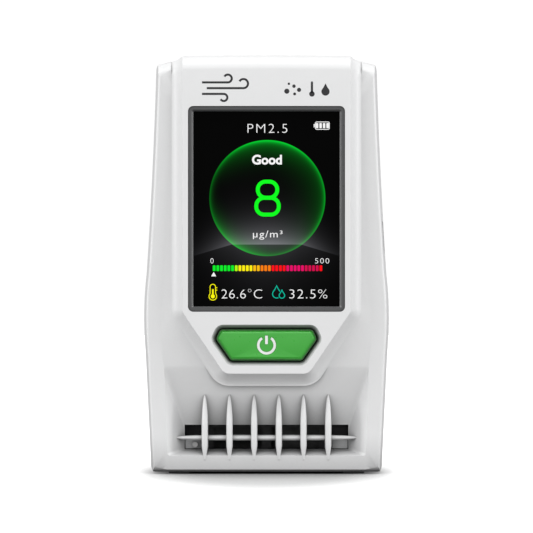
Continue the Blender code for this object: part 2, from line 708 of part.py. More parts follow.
def make_rear_cover():
    """The back shell with its four screw posts and the fan's outlet slots."""
    low, high = -OUTSIDE, HEIGHT + OUTSIDE
    layers = [(REAR_FRONT_Y, silhouette(0.0, low, high))]
    middle = (BACK_DRAFT + BACK_ROUND, BACK_Y - BACK_ROUND)
    for inset, y in arc(middle, BACK_ROUND, 180.0, 90.0, ARC_STEPS):
        layers.append((y + 0.01, silhouette(inset, low, high)))
    cover = loft_y("rear_cover", layers)
    keep(cover, profile_solid("profile"))
    top = HEIGHT - WING_DROP - WALL - 1.6
    hollow = loft_y("rear_hollow", [
        (REAR_FRONT_Y - OUTSIDE, silhouette(WALL, BASE_Z + WALL, top)),
        (BACK_Y - BACK_ROUND, silhouette(WALL + BACK_DRAFT, BASE_Z + WALL, top - 0.8)),
        (REAR_INNER_Y, silhouette(WALL + BACK_DRAFT + 2.0, BASE_Z + WALL + 0.6, top - 2.8)),
    ])
    for x, z in screw_places():
        cut(hollow, rod_y("post", x, z, REAR_POST_R, REAR_FRONT_Y - 2 * OUTSIDE, BACK_Y + OUTSIDE))
    cut(cover, hollow)
    join(cover, rear_lip(BASE_Z + WALL, top))
    seat = BACK_Y - CASE_SCREW_SINK - CASE_SCREW_HEAD_T
    for x, z in screw_places():
        cut(cover, rod_y("counterbore", x, z, CASE_SCREW_HEAD_R + FIT, seat - GAP, BACK_Y + OUTSIDE, 20))
        cut(cover, rod_y("through", x, z, CASE_SCREW_SHANK_R + FIT, REAR_FRONT_Y - OUTSIDE, BACK_Y))
    for index in range(VENT_COUNT):
        x = FAN_X + (index - (VENT_COUNT - 1) / 2) * VENT_PITCH
        slot = rounded(rectangle(x - VENT_W / 2, x + VENT_W / 2, VENT_LOW_Z, VENT_HIGH_Z),
                       VENT_W / 2 - 0.02, 3)
        cut(cover, prism("vent", slot, REAR_INNER_Y - 2.0, BACK_Y + OUTSIDE))
    for side in (-1, 1):
        cut(cover, rod_z("pocket", side * FOOT_X, FOOT_REAR_Y, FOOT_R + FIT, -OUTSIDE,
                         FOOT_T + GAP, ROUND_SIDES))
    finish(cover, CASE_WHITE)


def make_case_screws():
    """Four countersunk screws from the back."""
    seat = BACK_Y - CASE_SCREW_SINK - CASE_SCREW_HEAD_T
    for number, (x, z) in enumerate(screw_places(), 1):
        screw = rod_y(f"case_screw_{number}", x, z, CASE_SCREW_HEAD_R, seat, seat + CASE_SCREW_HEAD_T, 20)
        join(screw, rod_y("shank", x, z, CASE_SCREW_SHANK_R, PARTING_Y - CASE_SCREW_REACH, seat + 0.5))
        for turn in (0.0, 90.0):
            blade = rounded_cross(x, z, turn)
            cut(screw, prism("drive", blade, seat + 0.8, seat + OUTSIDE))
        finish(screw, STEEL)


def rounded_cross(x, z, turn):
    """One arm of a cross-shaped screw recess."""
    cos, sin = math.cos(math.radians(turn)), math.sin(math.radians(turn))
    half_l, half_w = CASE_SCREW_HEAD_R * 0.6, CASE_SCREW_HEAD_R * 0.12
    corners = rectangle(-half_l, half_l, -half_w, half_w)
    return [(x + a * cos - b * sin, z + a * sin + b * cos) for a, b in corners]


def make_feet():
    """Four round rubber feet in pockets under the base."""
    places = [(-FOOT_X, FOOT_FRONT_Y), (FOOT_X, FOOT_FRONT_Y), (-FOOT_X, FOOT_REAR_Y), (FOOT_X, FOOT_REAR_Y)]
    for number, (x, y) in enumerate(places, 1):
        finish(rod_z(f"foot_{number}", x, y, FOOT_R, 0.0, FOOT_T, ROUND_SIDES), RUBBER_BLACK)


# ---- screen --------------------------------------------------------------------------------------
def make_display():
    """Bezel, window, gasket, panel, backlight and ribbon."""
    outer = rounded_box_outline(BEZEL_W / 2, BEZEL_H / 2, SCREEN_Z, BEZEL_CORNER)
    front = FACE_Y + BEZEL_SINK
    bezel = prism("display_bezel", outer, front, BEZEL_FLANGE_Y + 0.1)
    flange = rounded_box_outline(BEZEL_W / 2 + FLANGE_OUT, BEZEL_H / 2 + FLANGE_OUT, SCREEN_Z, BEZEL_CORNER)
    join(bezel, prism("flange", flange, BEZEL_FLANGE_Y, WINDOW_BACK_Y))
    half_w, half_h = SCREEN_W / 2, SCREEN_H / 2
    cut(bezel, loft_y("sight", [
        (front - 0.5, rounded_box_outline(half_w + BEZEL_CHAMFER + 0.5, half_h + BEZEL_CHAMFER + 0.5,
                                          SCREEN_Z, 1.0)),
        (front + BEZEL_CHAMFER, rounded_box_outline(half_w, half_h, SCREEN_Z, 0.3)),
        (WINDOW_BACK_Y + 1.0, rounded_box_outline(half_w, half_h, SCREEN_Z, 0.3)),
    ]))
    rebate = rounded_box_outline(half_w + WINDOW_LAP + FIT, half_h + WINDOW_LAP + FIT, SCREEN_Z, 0.6)
    cut(bezel, prism("rebate", rebate, WINDOW_FRONT_Y - FIT, WINDOW_BACK_Y + 1.0))
    finish(bezel, FRAME_GREY)
    pane = rounded_box_outline(half_w + WINDOW_LAP, half_h + WINDOW_LAP, SCREEN_Z, 0.4)
    finish(prism("display_window", pane, WINDOW_FRONT_Y, WINDOW_BACK_Y), SCREEN_BLACK)
    ring = rounded_box_outline(half_w + 1.6, half_h + 1.6, SCREEN_Z, 0.6)
    gasket = prism("display_gasket", ring, GASKET_Y, GASKET_Y + GASKET_T)
    hole = rounded_box_outline(half_w + 0.2, half_h + 0.2, SCREEN_Z, 0.3)
    cut(gasket, prism("hole", hole, GASKET_Y - 1.0, GASKET_Y + GASKET_T + 1.0))
    finish(gasket, FOAM_BLACK)
    top = PANEL_BOTTOM + PANEL_H
    finish(block("lcd_panel", -PANEL_W / 2, PANEL_W / 2, PANEL_Y, PANEL_Y + PANEL_T,
                 PANEL_BOTTOM, top), SCREEN_BLACK)
    finish(block("lcd_backlight", -PANEL_W / 2 + GAP, PANEL_W / 2 - GAP, BACKLIGHT_Y,
                 BACKLIGHT_Y + BACKLIGHT_T, PANEL_BOTTOM + GAP, top - GAP), MARK_WHITE)
    socket_top = 108.0
    socket_y = BOARD_FRONT_Y - GAP
    run = [(PANEL_Y + 0.3, top + GAP), (PANEL_Y + 0.3, top + 1.6), (socket_y - 0.8, top + 1.6),
           (socket_y - 0.8, socket_top + GAP)]
    inner = [(socket_y - 0.8 - RIBBON_T, socket_top + GAP), (socket_y - 0.8 - RIBBON_T, top + 1.6 - RIBBON_T),
             (PANEL_Y + 0.3 + RIBBON_T, top + 1.6 - RIBBON_T), (PANEL_Y + 0.3 + RIBBON_T, top + GAP)]
    loop = run + inner
    ribbon = loft("lcd_ribbon", [[(x, y, z) for y, z in loop] for x in (-RIBBON_W / 2, RIBBON_W / 2)])
    finish(ribbon, RIBBON_AMBER)
    finish(block("ribbon_socket", -RIBBON_W / 2 - 1.0, RIBBON_W / 2 + 1.0, socket_y - 1.6, socket_y,
                 socket_top - 4.0, socket_top), BLACK_PLASTIC)


# ---- power button --------------------------------------------------------------------------------
def mark_ring(out):
    """The open ring of the power mark."""
    opening = MARK_GAP_DEG - math.degrees(out / MARK_R)
    outer = arc((0.0, MARK_Z), MARK_R + out, 90.0 + opening, 450.0 - opening, 20)
    inner = arc((0.0, MARK_Z), MARK_R - MARK_STROKE - out, 450.0 - opening, 90.0 + opening, 20)
    return outer + inner


def mark_bar(out):
    """The upright bar of the power mark."""
    half = MARK_STROKE * 0.55 + out
    return rectangle(-half, half, MARK_Z + MARK_BAR_LOW - out, MARK_Z + MARK_BAR_TOP + out)


def make_button():
    """Button with its inlaid mark, and the switch behind it."""
    front = BUTTON_FRONT_Y
    button = loft_y("power_button", [
        (front, button_outline(-BUTTON_CHAMFER)),
        (front + BUTTON_CHAMFER * 0.7, button_outline(0.0)),
        (BUTTON_FLANGE_Y + 0.1, button_outline(0.0)),
    ])
    join(button, prism("flange", button_outline(FLANGE_OUT), BUTTON_FLANGE_Y, BUTTON_FLANGE_Y + FLANGE_T))
    join(button, rod_y("stem", 0.0, MARK_Z, STEM_R, BUTTON_FLANGE_Y + 0.1, STEM_END_Y))
    groove = front + MARK_DEPTH + MARK_FIT
    cut(button, prism("groove", mark_ring(MARK_FIT), front - 1.0, groove))
    cut(button, prism("groove", mark_bar(MARK_FIT), front - 1.0, groove))
    finish(button, BUTTON_GREEN)
    ring = prism("mark_ring", mark_ring(0.0), front, front + MARK_DEPTH)
    bar = prism("mark_bar", mark_bar(0.0), front, front + MARK_DEPTH)
    plunger = rod_y("switch_plunger", 0.0, MARK_Z, PLUNGER_R, PLUNGER_Y, SWITCH_Y + PLUNGER_LAP)
    switch = block("switch_body", -SWITCH_HALF, SWITCH_HALF, SWITCH_Y, SWITCH_BACK_Y,
                   MARK_Z - SWITCH_HALF, MARK_Z + SWITCH_HALF)
    cut(switch, rod_y("bore", 0.0, MARK_Z, PLUNGER_R + FIT, SWITCH_Y - 1.0,
                      SWITCH_Y + PLUNGER_LAP + BUTTON_TRAVEL + PLUNGER_SPARE + GAP))
    finish(ring, MARK_WHITE)
    finish(bar, MARK_WHITE)
    finish(plunger, BLACK_PLASTIC)
    finish(switch, BLACK_PLASTIC)
    for item in (button, ring, bar, plunger):
        set_origin(item, 0.0, 0.0, MARK_Z)


# ---- particle sensor -----------------------------------------------------------------------------
def intake_opening(name, out, front, back):
    """The T-shaped air opening: a wide upper row over a narrower lower one."""
    slot_half = SCOOP_BOTTOM_HALF - SCOOP_DEPTH + out
    solid = block(name, -slot_half, slot_half, front, back, INTAKE_STEP_Z, SLOT_TOP_Z + out)
    low = block("low", -INTAKE_LOW_HALF, INTAKE_LOW_HALF, front - 0.1, back + 0.1,
                SLOT_BOTTOM_Z - out, INTAKE_STEP_Z + 0.5)
    return join(solid, low)


def make_intake():
    """Grey intake frame, its screw and the foam seal behind it."""
    low, high = SLOT_BOTTOM_Z - 2.0, SLOT_TOP_Z + 1.6
    back = INTAKE_Y + INTAKE_T
    frame = block("intake_frame", -INTAKE_HALF, INTAKE_HALF, INTAKE_Y, back, low, high)
    cut(frame, intake_opening("air", 0.0, INTAKE_Y - 1.0, back + 1.0))
    pad_out = SCOOP_BOTTOM_HALF - SCOOP_DEPTH - FIT
    pad_in = (FIN_COUNT - 1) / 2 * FIN_PITCH + FIN_HALF + GAP
    for left, right in ((-pad_out, -pad_in), (pad_in, pad_out)):
        join(frame, block("pad", left, right, INTAKE_PAD_Y, INTAKE_Y + INTAKE_T / 2,
                          SLOT_BOTTOM_Z + FIT, INTAKE_STEP_Z))
    hole = (INTAKE_SCREW_X, INTAKE_SCREW_Z)
    cut(frame, rod_y("hole", *hole, SCREW_SHANK_R + FIT, INTAKE_PAD_Y - 1.0, back + 1.0, 12))
    finish(frame, INNER_GREY)
    seat = INTAKE_PAD_Y - GAP
    screw = rod_y("intake_screw", *hole, SCREW_HEAD_R, seat - SCREW_HEAD_T, seat)
    join(screw, rod_y("shank", *hole, SCREW_SHANK_R, seat - SCREW_HEAD_T / 2, back + 0.2, 12))
    finish(screw, INNER_GREY)
    foam = block("intake_gasket", -INTAKE_HALF + 1.0, INTAKE_HALF - 1.0, FOAM_Y, FOAM_Y + FOAM_T,
                 low, high)
    cut(foam, block("air", -INTAKE_LOW_HALF, INTAKE_LOW_HALF, FOAM_Y - 1.0, FOAM_Y + FOAM_T + 1.0,
                    SLOT_BOTTOM_Z, SLOT_TOP_Z))
    finish(foam, FOAM_BLACK)


def make_sensor():
    """Sensor case and lid, with the board, laser, detector and fan inside."""
    half, low, high = SENSOR_HALF, SENSOR_LOW_Z, SENSOR_TOP_Z
    wall = SENSOR_WALL
    case = block("sensor_case", -half, half, SENSOR_Y, SENSOR_BACK_Y, low, high)
    cut(case, block("room", -half + wall, half - wall, SENSOR_Y + wall, SENSOR_BACK_Y + 1.0,
                    low + wall, high - wall))
    for x in (-INTAKE_LOW_HALF / 2, INTAKE_LOW_HALF / 2):
        cut(case, block("air", x - INTAKE_LOW_HALF * 0.42, x + INTAKE_LOW_HALF * 0.42,
                        SENSOR_Y - 1.0, SENSOR_Y + wall + 0.5, SLOT_BOTTOM_Z, SLOT_TOP_Z - 1.0))
    finish(case, BLACK_PLASTIC)
    lid_y = SENSOR_BACK_Y + GAP
    lid = block("sensor_lid", -half, half, lid_y, lid_y + LID_T, low, high)
    cut(lid, rod_y("outlet", FAN_X, FAN_Z, FAN_R - 1.0, lid_y - 1.0, lid_y + LID_T + 1.0, ROUND_SIDES))
    finish(lid, BLACK_PLASTIC)
    fan_back = SENSOR_BACK_Y - GAP
    fan_front = fan_back - FAN_T
    side = FAN_FRAME_HALF
    frame = block("fan_frame", FAN_X - side, FAN_X + side, fan_front, fan_back, FAN_Z - side, FAN_Z + side)
    cut(frame, rod_y("bore", FAN_X, FAN_Z, FAN_R, fan_front + 0.8, fan_back + 1.0, ROUND_SIDES))
    cut(frame, rod_y("inlet", FAN_X, FAN_Z, FAN_R - 2.4, fan_front - 1.0, fan_back, ROUND_SIDES))
    finish(frame, BLACK_PLASTIC)
    make_rotor(fan_front + 0.8 + FAN_TIP_GAP, fan_back - 0.4)
    board_left = FAN_X + side + GAP
    board_y = SENSOR_BACK_Y - 3.4
    finish(block("sensor_board", board_left, half - wall - GAP, board_y, board_y + 1.0,
                 low + wall + GAP, high - wall - GAP), BOARD_GREEN)
    laser_y = board_y - 3.2
    laser = rod_y("laser_module", 13.5, 29.0, 2.6, board_y - 6.0, board_y - GAP)
    join(laser, rod_y("lens", 13.5, 29.0, 1.4, board_y - 7.2, board_y - 5.5))
    finish(laser, BRASS)
    finish(block("light_detector", 8.0, 11.0, laser_y, board_y - GAP, 12.0, 16.0), SCREEN_BLACK)


def make_rotor(front, back):
    """The fan's hub and blades, with the origin on the fan's axis."""
    rotor = rod_y("fan_rotor", FAN_X, FAN_Z, FAN_HUB_R, front, back, ROUND_SIDES)
    tip = FAN_R - FAN_TIP_GAP
    span = back - front - 0.6
    for index in range(FAN_BLADES):
        turn = 2 * math.pi * index / FAN_BLADES
        rings = []
        for reach in (FAN_HUB_R - 0.8, (FAN_HUB_R + tip) / 2, tip):
            corners = []
            for along, across in ((0.0, -0.3), (0.0, 0.3), (1.0, 1.6 + 0.3), (1.0, 1.6 - 0.3)):
                y = front + 0.3 + span * along
                sweep = turn + (across + 0.08 * reach) / reach
                corners.append((FAN_X + reach * math.cos(sweep), y, FAN_Z + reach * math.sin(sweep)))
            rings.append(corners)
        join(rotor, loft("blade", rings))
    finish(rotor, BLACK_PLASTIC)
    set_origin(rotor, FAN_X, front, FAN_Z)


# ---- boards, battery and leads -------------------------------------------------------------------
def make_main_board():
    """Main board with its screws, chips, buzzer, sockets and charging port."""
    right = [(TONGUE_HALF, TONGUE_Z), (TONGUE_HALF, BOARD_LOW_Z), (BOARD_HALF, BOARD_LOW_Z),
             (BOARD_HALF, BOARD_HIGH_Z), (NECK_HALF, BOARD_HIGH_Z), (NECK_HALF, NECK_Z)]
    outline = right + [(-x, z) for x, z in reversed(right)]
    board = prism("main_board", outline, BOARD_FRONT_Y, BOARD_BACK_Y)
    mouth_x = half_width(PORT_Z) - PORT_INSET - RIM_DRAFT
    tab_half = PORT_W / 2 + PORT_TAB
    join(board, block("tab", TONGUE_HALF, mouth_x - PORT_OVERHANG, BOARD_FRONT_Y, BOARD_BACK_Y,
                      PORT_Z - tab_half, PORT_Z + tab_half))
    for number, (x, z) in enumerate(board_screw_places(), 1):
        cut(board, rod_y("hole", x, z, 0.8 + FIT, BOARD_FRONT_Y - 1.0, BOARD_BACK_Y + 1.0, 12))
        screw = rod_y(f"board_screw_{number}", x, z, 1.7, CHIP_Y, CHIP_Y + 1.2)
        join(screw, rod_y("shank", x, z, 0.8, BOARD_FRONT_Y - 2.4, CHIP_Y + 0.3, 12))
        finish(screw, STEEL)
    finish(board, BOARD_GREEN)
    chips = {
        "processor": (0.0, 62.0, 10.0, 10.0, 1.2),
        "memory_chip": (-13.0, 62.0, 6.0, 5.0, 1.0),
        "power_chip": (14.0, 84.0, 5.0, 5.0, 1.0),
        "charger_chip": (16.0, 72.0, 4.0, 4.0, 1.0),
    }
    for name, (x, z, wide, tall, thick) in chips.items():
        finish(block(name, x - wide / 2, x + wide / 2, CHIP_Y, CHIP_Y + thick, z - tall / 2, z + tall / 2),
               BLACK_PLASTIC)
    buzzer = rod_y("buzzer", -16.0, 84.0, 4.5, CHIP_Y, CHIP_Y + 3.0, 24)
    cut(buzzer, rod_y("mouth", -16.0, 84.0, 0.9, CHIP_Y + 1.5, CHIP_Y + 4.0, 12))
    finish(buzzer, BLACK_PLASTIC)
    port = block("charging_port", mouth_x - PORT_L, mouth_x, CHIP_Y, CHIP_Y + PORT_H,
                 PORT_Z - PORT_W / 2, PORT_Z + PORT_W / 2)
    cut(port, block("mouth", mouth_x - PORT_L + 1.0, mouth_x + 1.0, CHIP_Y + 0.3, CHIP_Y + PORT_H - 0.3,
                    PORT_Z - PORT_W / 2 + 0.3, PORT_Z + PORT_W / 2 - 0.3))
    join(port, block("tongue", mouth_x - PORT_L + 0.5, mouth_x - 1.2, CHIP_Y + PORT_H / 2 - 0.35,
                     CHIP_Y + PORT_H / 2 + 0.35, PORT_Z - 3.0, PORT_Z + 3.0))
    finish(port, STEEL)
    finish(block("sensor_socket", -10.0, 0.0, CHIP_Y, CHIP_Y + 3.0, 47.0, 51.0), BLACK_PLASTIC)
    finish(block("battery_socket", 6.0, 12.0, CHIP_Y, CHIP_Y + 3.0, 94.0, 98.0), MARK_WHITE)


def make_battery():
    """Flat cell on a foam pad inside the rear cover."""
    half = BATTERY_W / 2
    low, high = BATTERY_Z - BATTERY_H / 2, BATTERY_Z + BATTERY_H / 2
    cell = rounded(rectangle(-half, half, low, high), 1.5, 3)
    finish(prism("battery", cell, BATTERY_Y, BATTERY_Y + BATTERY_T), CELL_SILVER)
    finish(block("battery_pad", -half + 2.0, half - 2.0, PAD_Y, PAD_Y + PAD_T, low + 3.0, high - 3.0),
           FOAM_BLACK)


def make_climate_board():
    """Small board near the top that reads temperature and humidity."""
    finish(block("climate_board", -24.0, -14.0, CHIP_Y + 3.4, CHIP_Y + 4.4, 104.0, 114.0), BOARD_GREEN)
    finish(block("climate_sensor", -20.5, -17.5, CHIP_Y + 4.7, CHIP_Y + 5.7, 108.0, 111.0), MARK_WHITE)


def make_lead(name, points, radius, look):
    """A lead between two sockets, as a smooth tube."""
    curve = bpy.data.curves.new(name, "CURVE")
    curve.dimensions = "3D"
    curve.bevel_depth = radius * MM
    curve.bevel_resolution = 2
    curve.use_fill_caps = True
    spline = curve.splines.new("POLY")
    steps = 14
    spline.points.add(steps)
    for step in range(steps + 1):
        share = step / steps
        weights = ((1 - share) ** 3, 3 * share * (1 - share) ** 2, 3 * share ** 2 * (1 - share), share ** 3)
        place = [sum(w * point[axis] for w, point in zip(weights, points)) * MM for axis in range(3)]
        spline.points[step].co = (*place, 1.0)
    lead = bpy.data.objects.new(name, curve)
    bpy.context.scene.collection.objects.link(lead)
    material_source = bpy.data.materials.get(look[0])
    curve.materials.append(material_source)


def make_leads():
    """The sensor's harness and the battery's lead."""
    socket_y = CHIP_Y + 3.0 + GAP
    make_lead("sensor_harness", [
        (-5.0, socket_y + 0.9, 49.0), (-5.0, socket_y + 4.0, 49.0),
        (2.0, socket_y + 4.0, SENSOR_TOP_Z + 7.0), (2.0, SENSOR_Y + 4.0, SENSOR_TOP_Z + GAP),
    ], 0.9, BLACK_PLASTIC)
    make_lead("battery_lead", [
        (9.0, socket_y + 0.9, 96.0), (9.0, socket_y + 3.0, 96.0),
        (9.0, BATTERY_Y + 3.0, BATTERY_Z + BATTERY_H / 2 + 12.0),
        (9.0, BATTERY_Y + 3.0, BATTERY_Z + BATTERY_H / 2 + GAP),
    ], 0.8, BLACK_PLASTIC)


def build():
    """Clear the scene and make every piece."""
    for item in list(bpy.data.objects):
        bpy.data.objects.remove(item)
    make_front_cover()
    make_rear_cover()
    make_case_screws()
    make_feet()
    make_display()
    make_button()
    make_intake()
    make_sensor()
    make_main_board()
    make_battery()
    make_climate_board()
    make_leads()


build()
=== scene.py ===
"""Looks of a handheld air quality monitor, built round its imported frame.

Sizes in the classes are millimetres in the part's own axes: X to the right, the screen faces -Y and
Z is up. Meshes are scaled to metres when they are made.
"""

from __future__ import annotations

import logging
import math
from dataclasses import dataclass, field
from enum import Enum

import bmesh
import bpy
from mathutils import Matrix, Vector


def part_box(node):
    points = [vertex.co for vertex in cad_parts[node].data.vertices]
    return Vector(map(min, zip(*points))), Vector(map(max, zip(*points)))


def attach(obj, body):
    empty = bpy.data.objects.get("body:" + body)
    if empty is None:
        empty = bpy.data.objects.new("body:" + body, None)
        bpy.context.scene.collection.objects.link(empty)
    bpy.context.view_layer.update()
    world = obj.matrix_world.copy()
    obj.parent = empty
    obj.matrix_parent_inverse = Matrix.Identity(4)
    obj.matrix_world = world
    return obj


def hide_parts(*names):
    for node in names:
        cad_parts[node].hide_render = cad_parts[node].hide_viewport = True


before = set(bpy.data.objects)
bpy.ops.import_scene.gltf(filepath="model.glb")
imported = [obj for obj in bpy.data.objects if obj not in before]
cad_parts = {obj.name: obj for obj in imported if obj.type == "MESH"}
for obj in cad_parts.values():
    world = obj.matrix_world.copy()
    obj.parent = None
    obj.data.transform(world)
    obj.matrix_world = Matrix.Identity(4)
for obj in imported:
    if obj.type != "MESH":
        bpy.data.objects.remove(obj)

MM = 0.001
LOG = logging.getLogger("air_quality_monitor")

Point = tuple[float, float]
Outline = list[Point]
Ring = list[tuple[float, float, float]]
Colour = tuple[float, float, float]


class Combine(Enum):
    """How two solids are combined."""

    JOIN = "UNION"
    CUT = "DIFFERENCE"
    KEEP = "INTERSECT"


class Align(Enum):
    """Which side of its place a line of characters starts from."""

    LEFT = "LEFT"
    CENTRE = "CENTER"
    RIGHT = "RIGHT"


# ---- outlines ------------------------------------------------------------------------------------
def arc(centre: Point, radius: float, start: float, end: float, steps: int = 10) -> Outline:
    """Points along a circle's arc, both ends included.

    Args:
        centre: Middle of the circle.
        radius: Its radius.
        start: First angle in degrees.
        end: Last angle in degrees.
        steps: How many straight pieces stand for the arc.

    Returns:
        The arc's points.
    """
    angles = [math.radians(start + (end - start) * step / steps) for step in range(steps + 1)]
    return [(centre[0] + radius * math.cos(a), centre[1] + radius * math.sin(a)) for a in angles]


def circle(centre: Point, radius: float, sides: int = 48) -> Outline:
    """A full circle of points."""
    return arc(centre, radius, 0.0, 360.0, sides)[:-1]


def rectangle(left: float, right: float, low: float, high: float) -> Outline:
    """Four corners of a rectangle, anticlockwise."""
    return [(left, low), (right, low), (right, high), (left, high)]


def mirrored(right: Outline) -> Outline:
    """A closed outline from its right half, listed from the bottom up."""
    return right + [(-x, z) for x, z in reversed(right)]


def offset(points: Outline, distance: float) -> Outline:
    """Move every side of a convex outline outwards.

    Args:
        points: The outline, anticlockwise.
        distance: How far each side moves.

    Returns:
        The moved outline, with as many corners.
    """
    lines = []
    for (ax, az), (bx, bz) in zip(points, points[1:] + points[:1]):
        length = math.hypot(bx - ax, bz - az)
        nx, nz = (bz - az) / length, -(bx - ax) / length
        lines.append((nx, nz, nx * ax + nz * az + distance))
    moved = []
    for index, (n2x, n2z, c2) in enumerate(lines):
        n1x, n1z, c1 = lines[index - 1]
        det = n1x * n2z - n2x * n1z
        moved.append(((c1 * n2z - c2 * n1z) / det, (n1x * c2 - n2x * c1) / det))
    return moved


def rounded(points: Outline, radius: float, steps: int = 8) -> Outline:
    """Round every corner of a convex outline.

    Args:
        points: The outline, anticlockwise.
        radius: Radius of every corner.
        steps: Straight pieces in each corner.

    Returns:
        The outline with an arc at each corner.
    """
    result: Outline = []
    for index, (cx, cz) in enumerate(points):
        px, pz = points[index - 1]
        nx, nz = points[(index + 1) % len(points)]
        heading = math.atan2(cz - pz, cx - px)
        turn = (math.atan2(nz - cz, nx - cx) - heading) % (2 * math.pi)
        reach = radius * math.tan(turn / 2)
        start = (cx - reach * math.cos(heading), cz - reach * math.sin(heading))
        middle = (start[0] - radius * math.sin(heading), start[1] + radius * math.cos(heading))
        first = math.degrees(heading) - 90.0
        result += arc(middle, radius, first, first + math.degrees(turn), steps)
    return result


def rounded_box(half_w: float, half_h: float, middle: Point, radius: float, steps: int = 8) -> Outline:
    """A rectangle about a point with round corners."""
    x, z = middle
    return rounded(rectangle(x - half_w, x + half_w, z - half_h, z + half_h), radius, steps)


def drop_outline(middle: Point, radius: float, steps: int) -> Outline:
    """A drop: round below and pointed above.

    Args:
        middle: Centre of its round part.
        radius: Radius of its round part.
        steps: Straight pieces in the round part.

    Returns:
        The outline.
    """
    x, z = middle
    waist, shoulder = radius * 0.42, z + radius * 1.15
    tip = [(x + waist, shoulder), (x, z + 2 * radius), (x - waist, shoulder)]
    return arc(middle, radius, 150.0, 390.0, steps) + tip


# ---- solids --------------------------------------------------------------------------------------
def make_object(name: str, builder: bmesh.types.BMesh) -> bpy.types.Object:
    """Turn a mesh in millimetres into a linked object in metres.

    Args:
        name: Name of the piece.
        builder: The mesh, in millimetres.

    Returns:
        The object.
    """
    bmesh.ops.recalc_face_normals(builder, faces=builder.faces)
    bmesh.ops.scale(builder, vec=(MM, MM, MM), verts=builder.verts)
    mesh = bpy.data.meshes.new(name)
    builder.to_mesh(mesh)
    builder.free()
    item = bpy.data.objects.new(name, mesh)
    bpy.context.scene.collection.objects.link(item)
    return item


def add_loft(builder: bmesh.types.BMesh, rings: list[Ring]) -> None:
    """Add a closed solid through rings of equal point counts to a mesh.

    Args:
        builder: The mesh, in millimetres.
        rings: The rings, in order.
    """
    loops = [[builder.verts.new(point) for point in ring] for ring in rings]
    count = len(rings[0])
    for low, high in zip(loops, loops[1:]):
        for index in range(count):
            after = (index + 1) % count
            builder.faces.new((low[index], low[after], high[after], high[index]))
    builder.faces.new(list(reversed(loops[0])))
    builder.faces.new(loops[-1])


def loft(name: str, rings: list[Ring]) -> bpy.types.Object:
    """One closed solid through rings of equal point counts.

    Args:
        name: Name of the piece.
        rings: The rings, in order.

    Returns:
        The solid.
    """
    builder = bmesh.new()
    add_loft(builder, rings)
    return make_object(name, builder)


def loft_y(name: str, layers: list[tuple[float, Outline]]) -> bpy.types.Object:
    """A solid through (x, z) outlines, each at its own y."""
    return loft(name, [[(x, y, z) for x, z in outline] for y, outline in layers])


def prism(name: str, outline: Outline, front: float, back: float) -> bpy.types.Object:
    """An (x, z) outline pushed from front to back."""
    return loft_y(name, [(front, outline), (back, outline)])


def prisms(name: str, outlines: list[Outline], front: float, back: float) -> bpy.types.Object:
    """Several separate prisms in one object.

    Args:
        name: Name of the piece.
        outlines: Their (x, z) outlines.
        front: The y of the front.
        back: The y of the back.

    Returns:
        The object.
    """
    builder = bmesh.new()
    for outline in outlines:
        add_loft(builder, [[(x, y, z) for x, z in outline] for y in (front, back)])
    return make_object(name, builder)


def rod_y(name: str, x: float, z: float, radius: float, front: float, back: float) -> bpy.types.Object:
    """A round bar along Y."""
    return prism(name, circle((x, z), radius), front, back)


def rod_z(name: str, x: float, y: float, radius: float, low: float, high: float) -> bpy.types.Object:
    """A round bar along Z."""
    outline = circle((x, y), radius)
    return loft(name, [[(px, py, z) for px, py in outline] for z in (low, high)])


def combine(item: bpy.types.Object, how: Combine, *others: bpy.types.Object) -> bpy.types.Object:
    """Combine a solid with others, which are used up.

    Args:
        item: The solid that keeps the result.
        how: Join, cut or keep.
        *others: The other solids.

    Returns:
        The same object with its new mesh.
    """
    for other in others:
        modifier = item.modifiers.new("combine", "BOOLEAN")
        modifier.operation = how.value
        modifier.solver = "EXACT"
        modifier.object = other
        bpy.context.view_layer.update()
        graph = bpy.context.evaluated_depsgraph_get()
        result = bpy.data.meshes.new_from_object(item.evaluated_get(graph))
        item.modifiers.clear()
        old = item.data
        item.data = result
        bpy.data.meshes.remove(old)
        bpy.data.objects.remove(other)
    return item


def smooth(item: bpy.types.Object, sharp: float = 28.0, fillet: float = 0.0) -> bpy.types.Object:
    """Shade a piece smoothly between its edges.

    Args:
        item: The piece.
        sharp: Edges that turn by more degrees than this stay sharp.
        fillet: Width in millimetres of a small fillet on those edges, or 0 for none.

    Returns:
        The same piece.
    """
    item.data.shade_smooth()
    item.data.set_sharp_from_angle(angle=math.radians(sharp))
    if fillet:
        bevel = item.modifiers.new("fillet", "BEVEL")
        bevel.width = fillet * MM
        bevel.segments = 3
        bevel.limit_method = "ANGLE"
        bevel.angle_limit = math.radians(sharp)
        bevel.harden_normals = True
        bevel.use_clamp_overlap = True
    return item


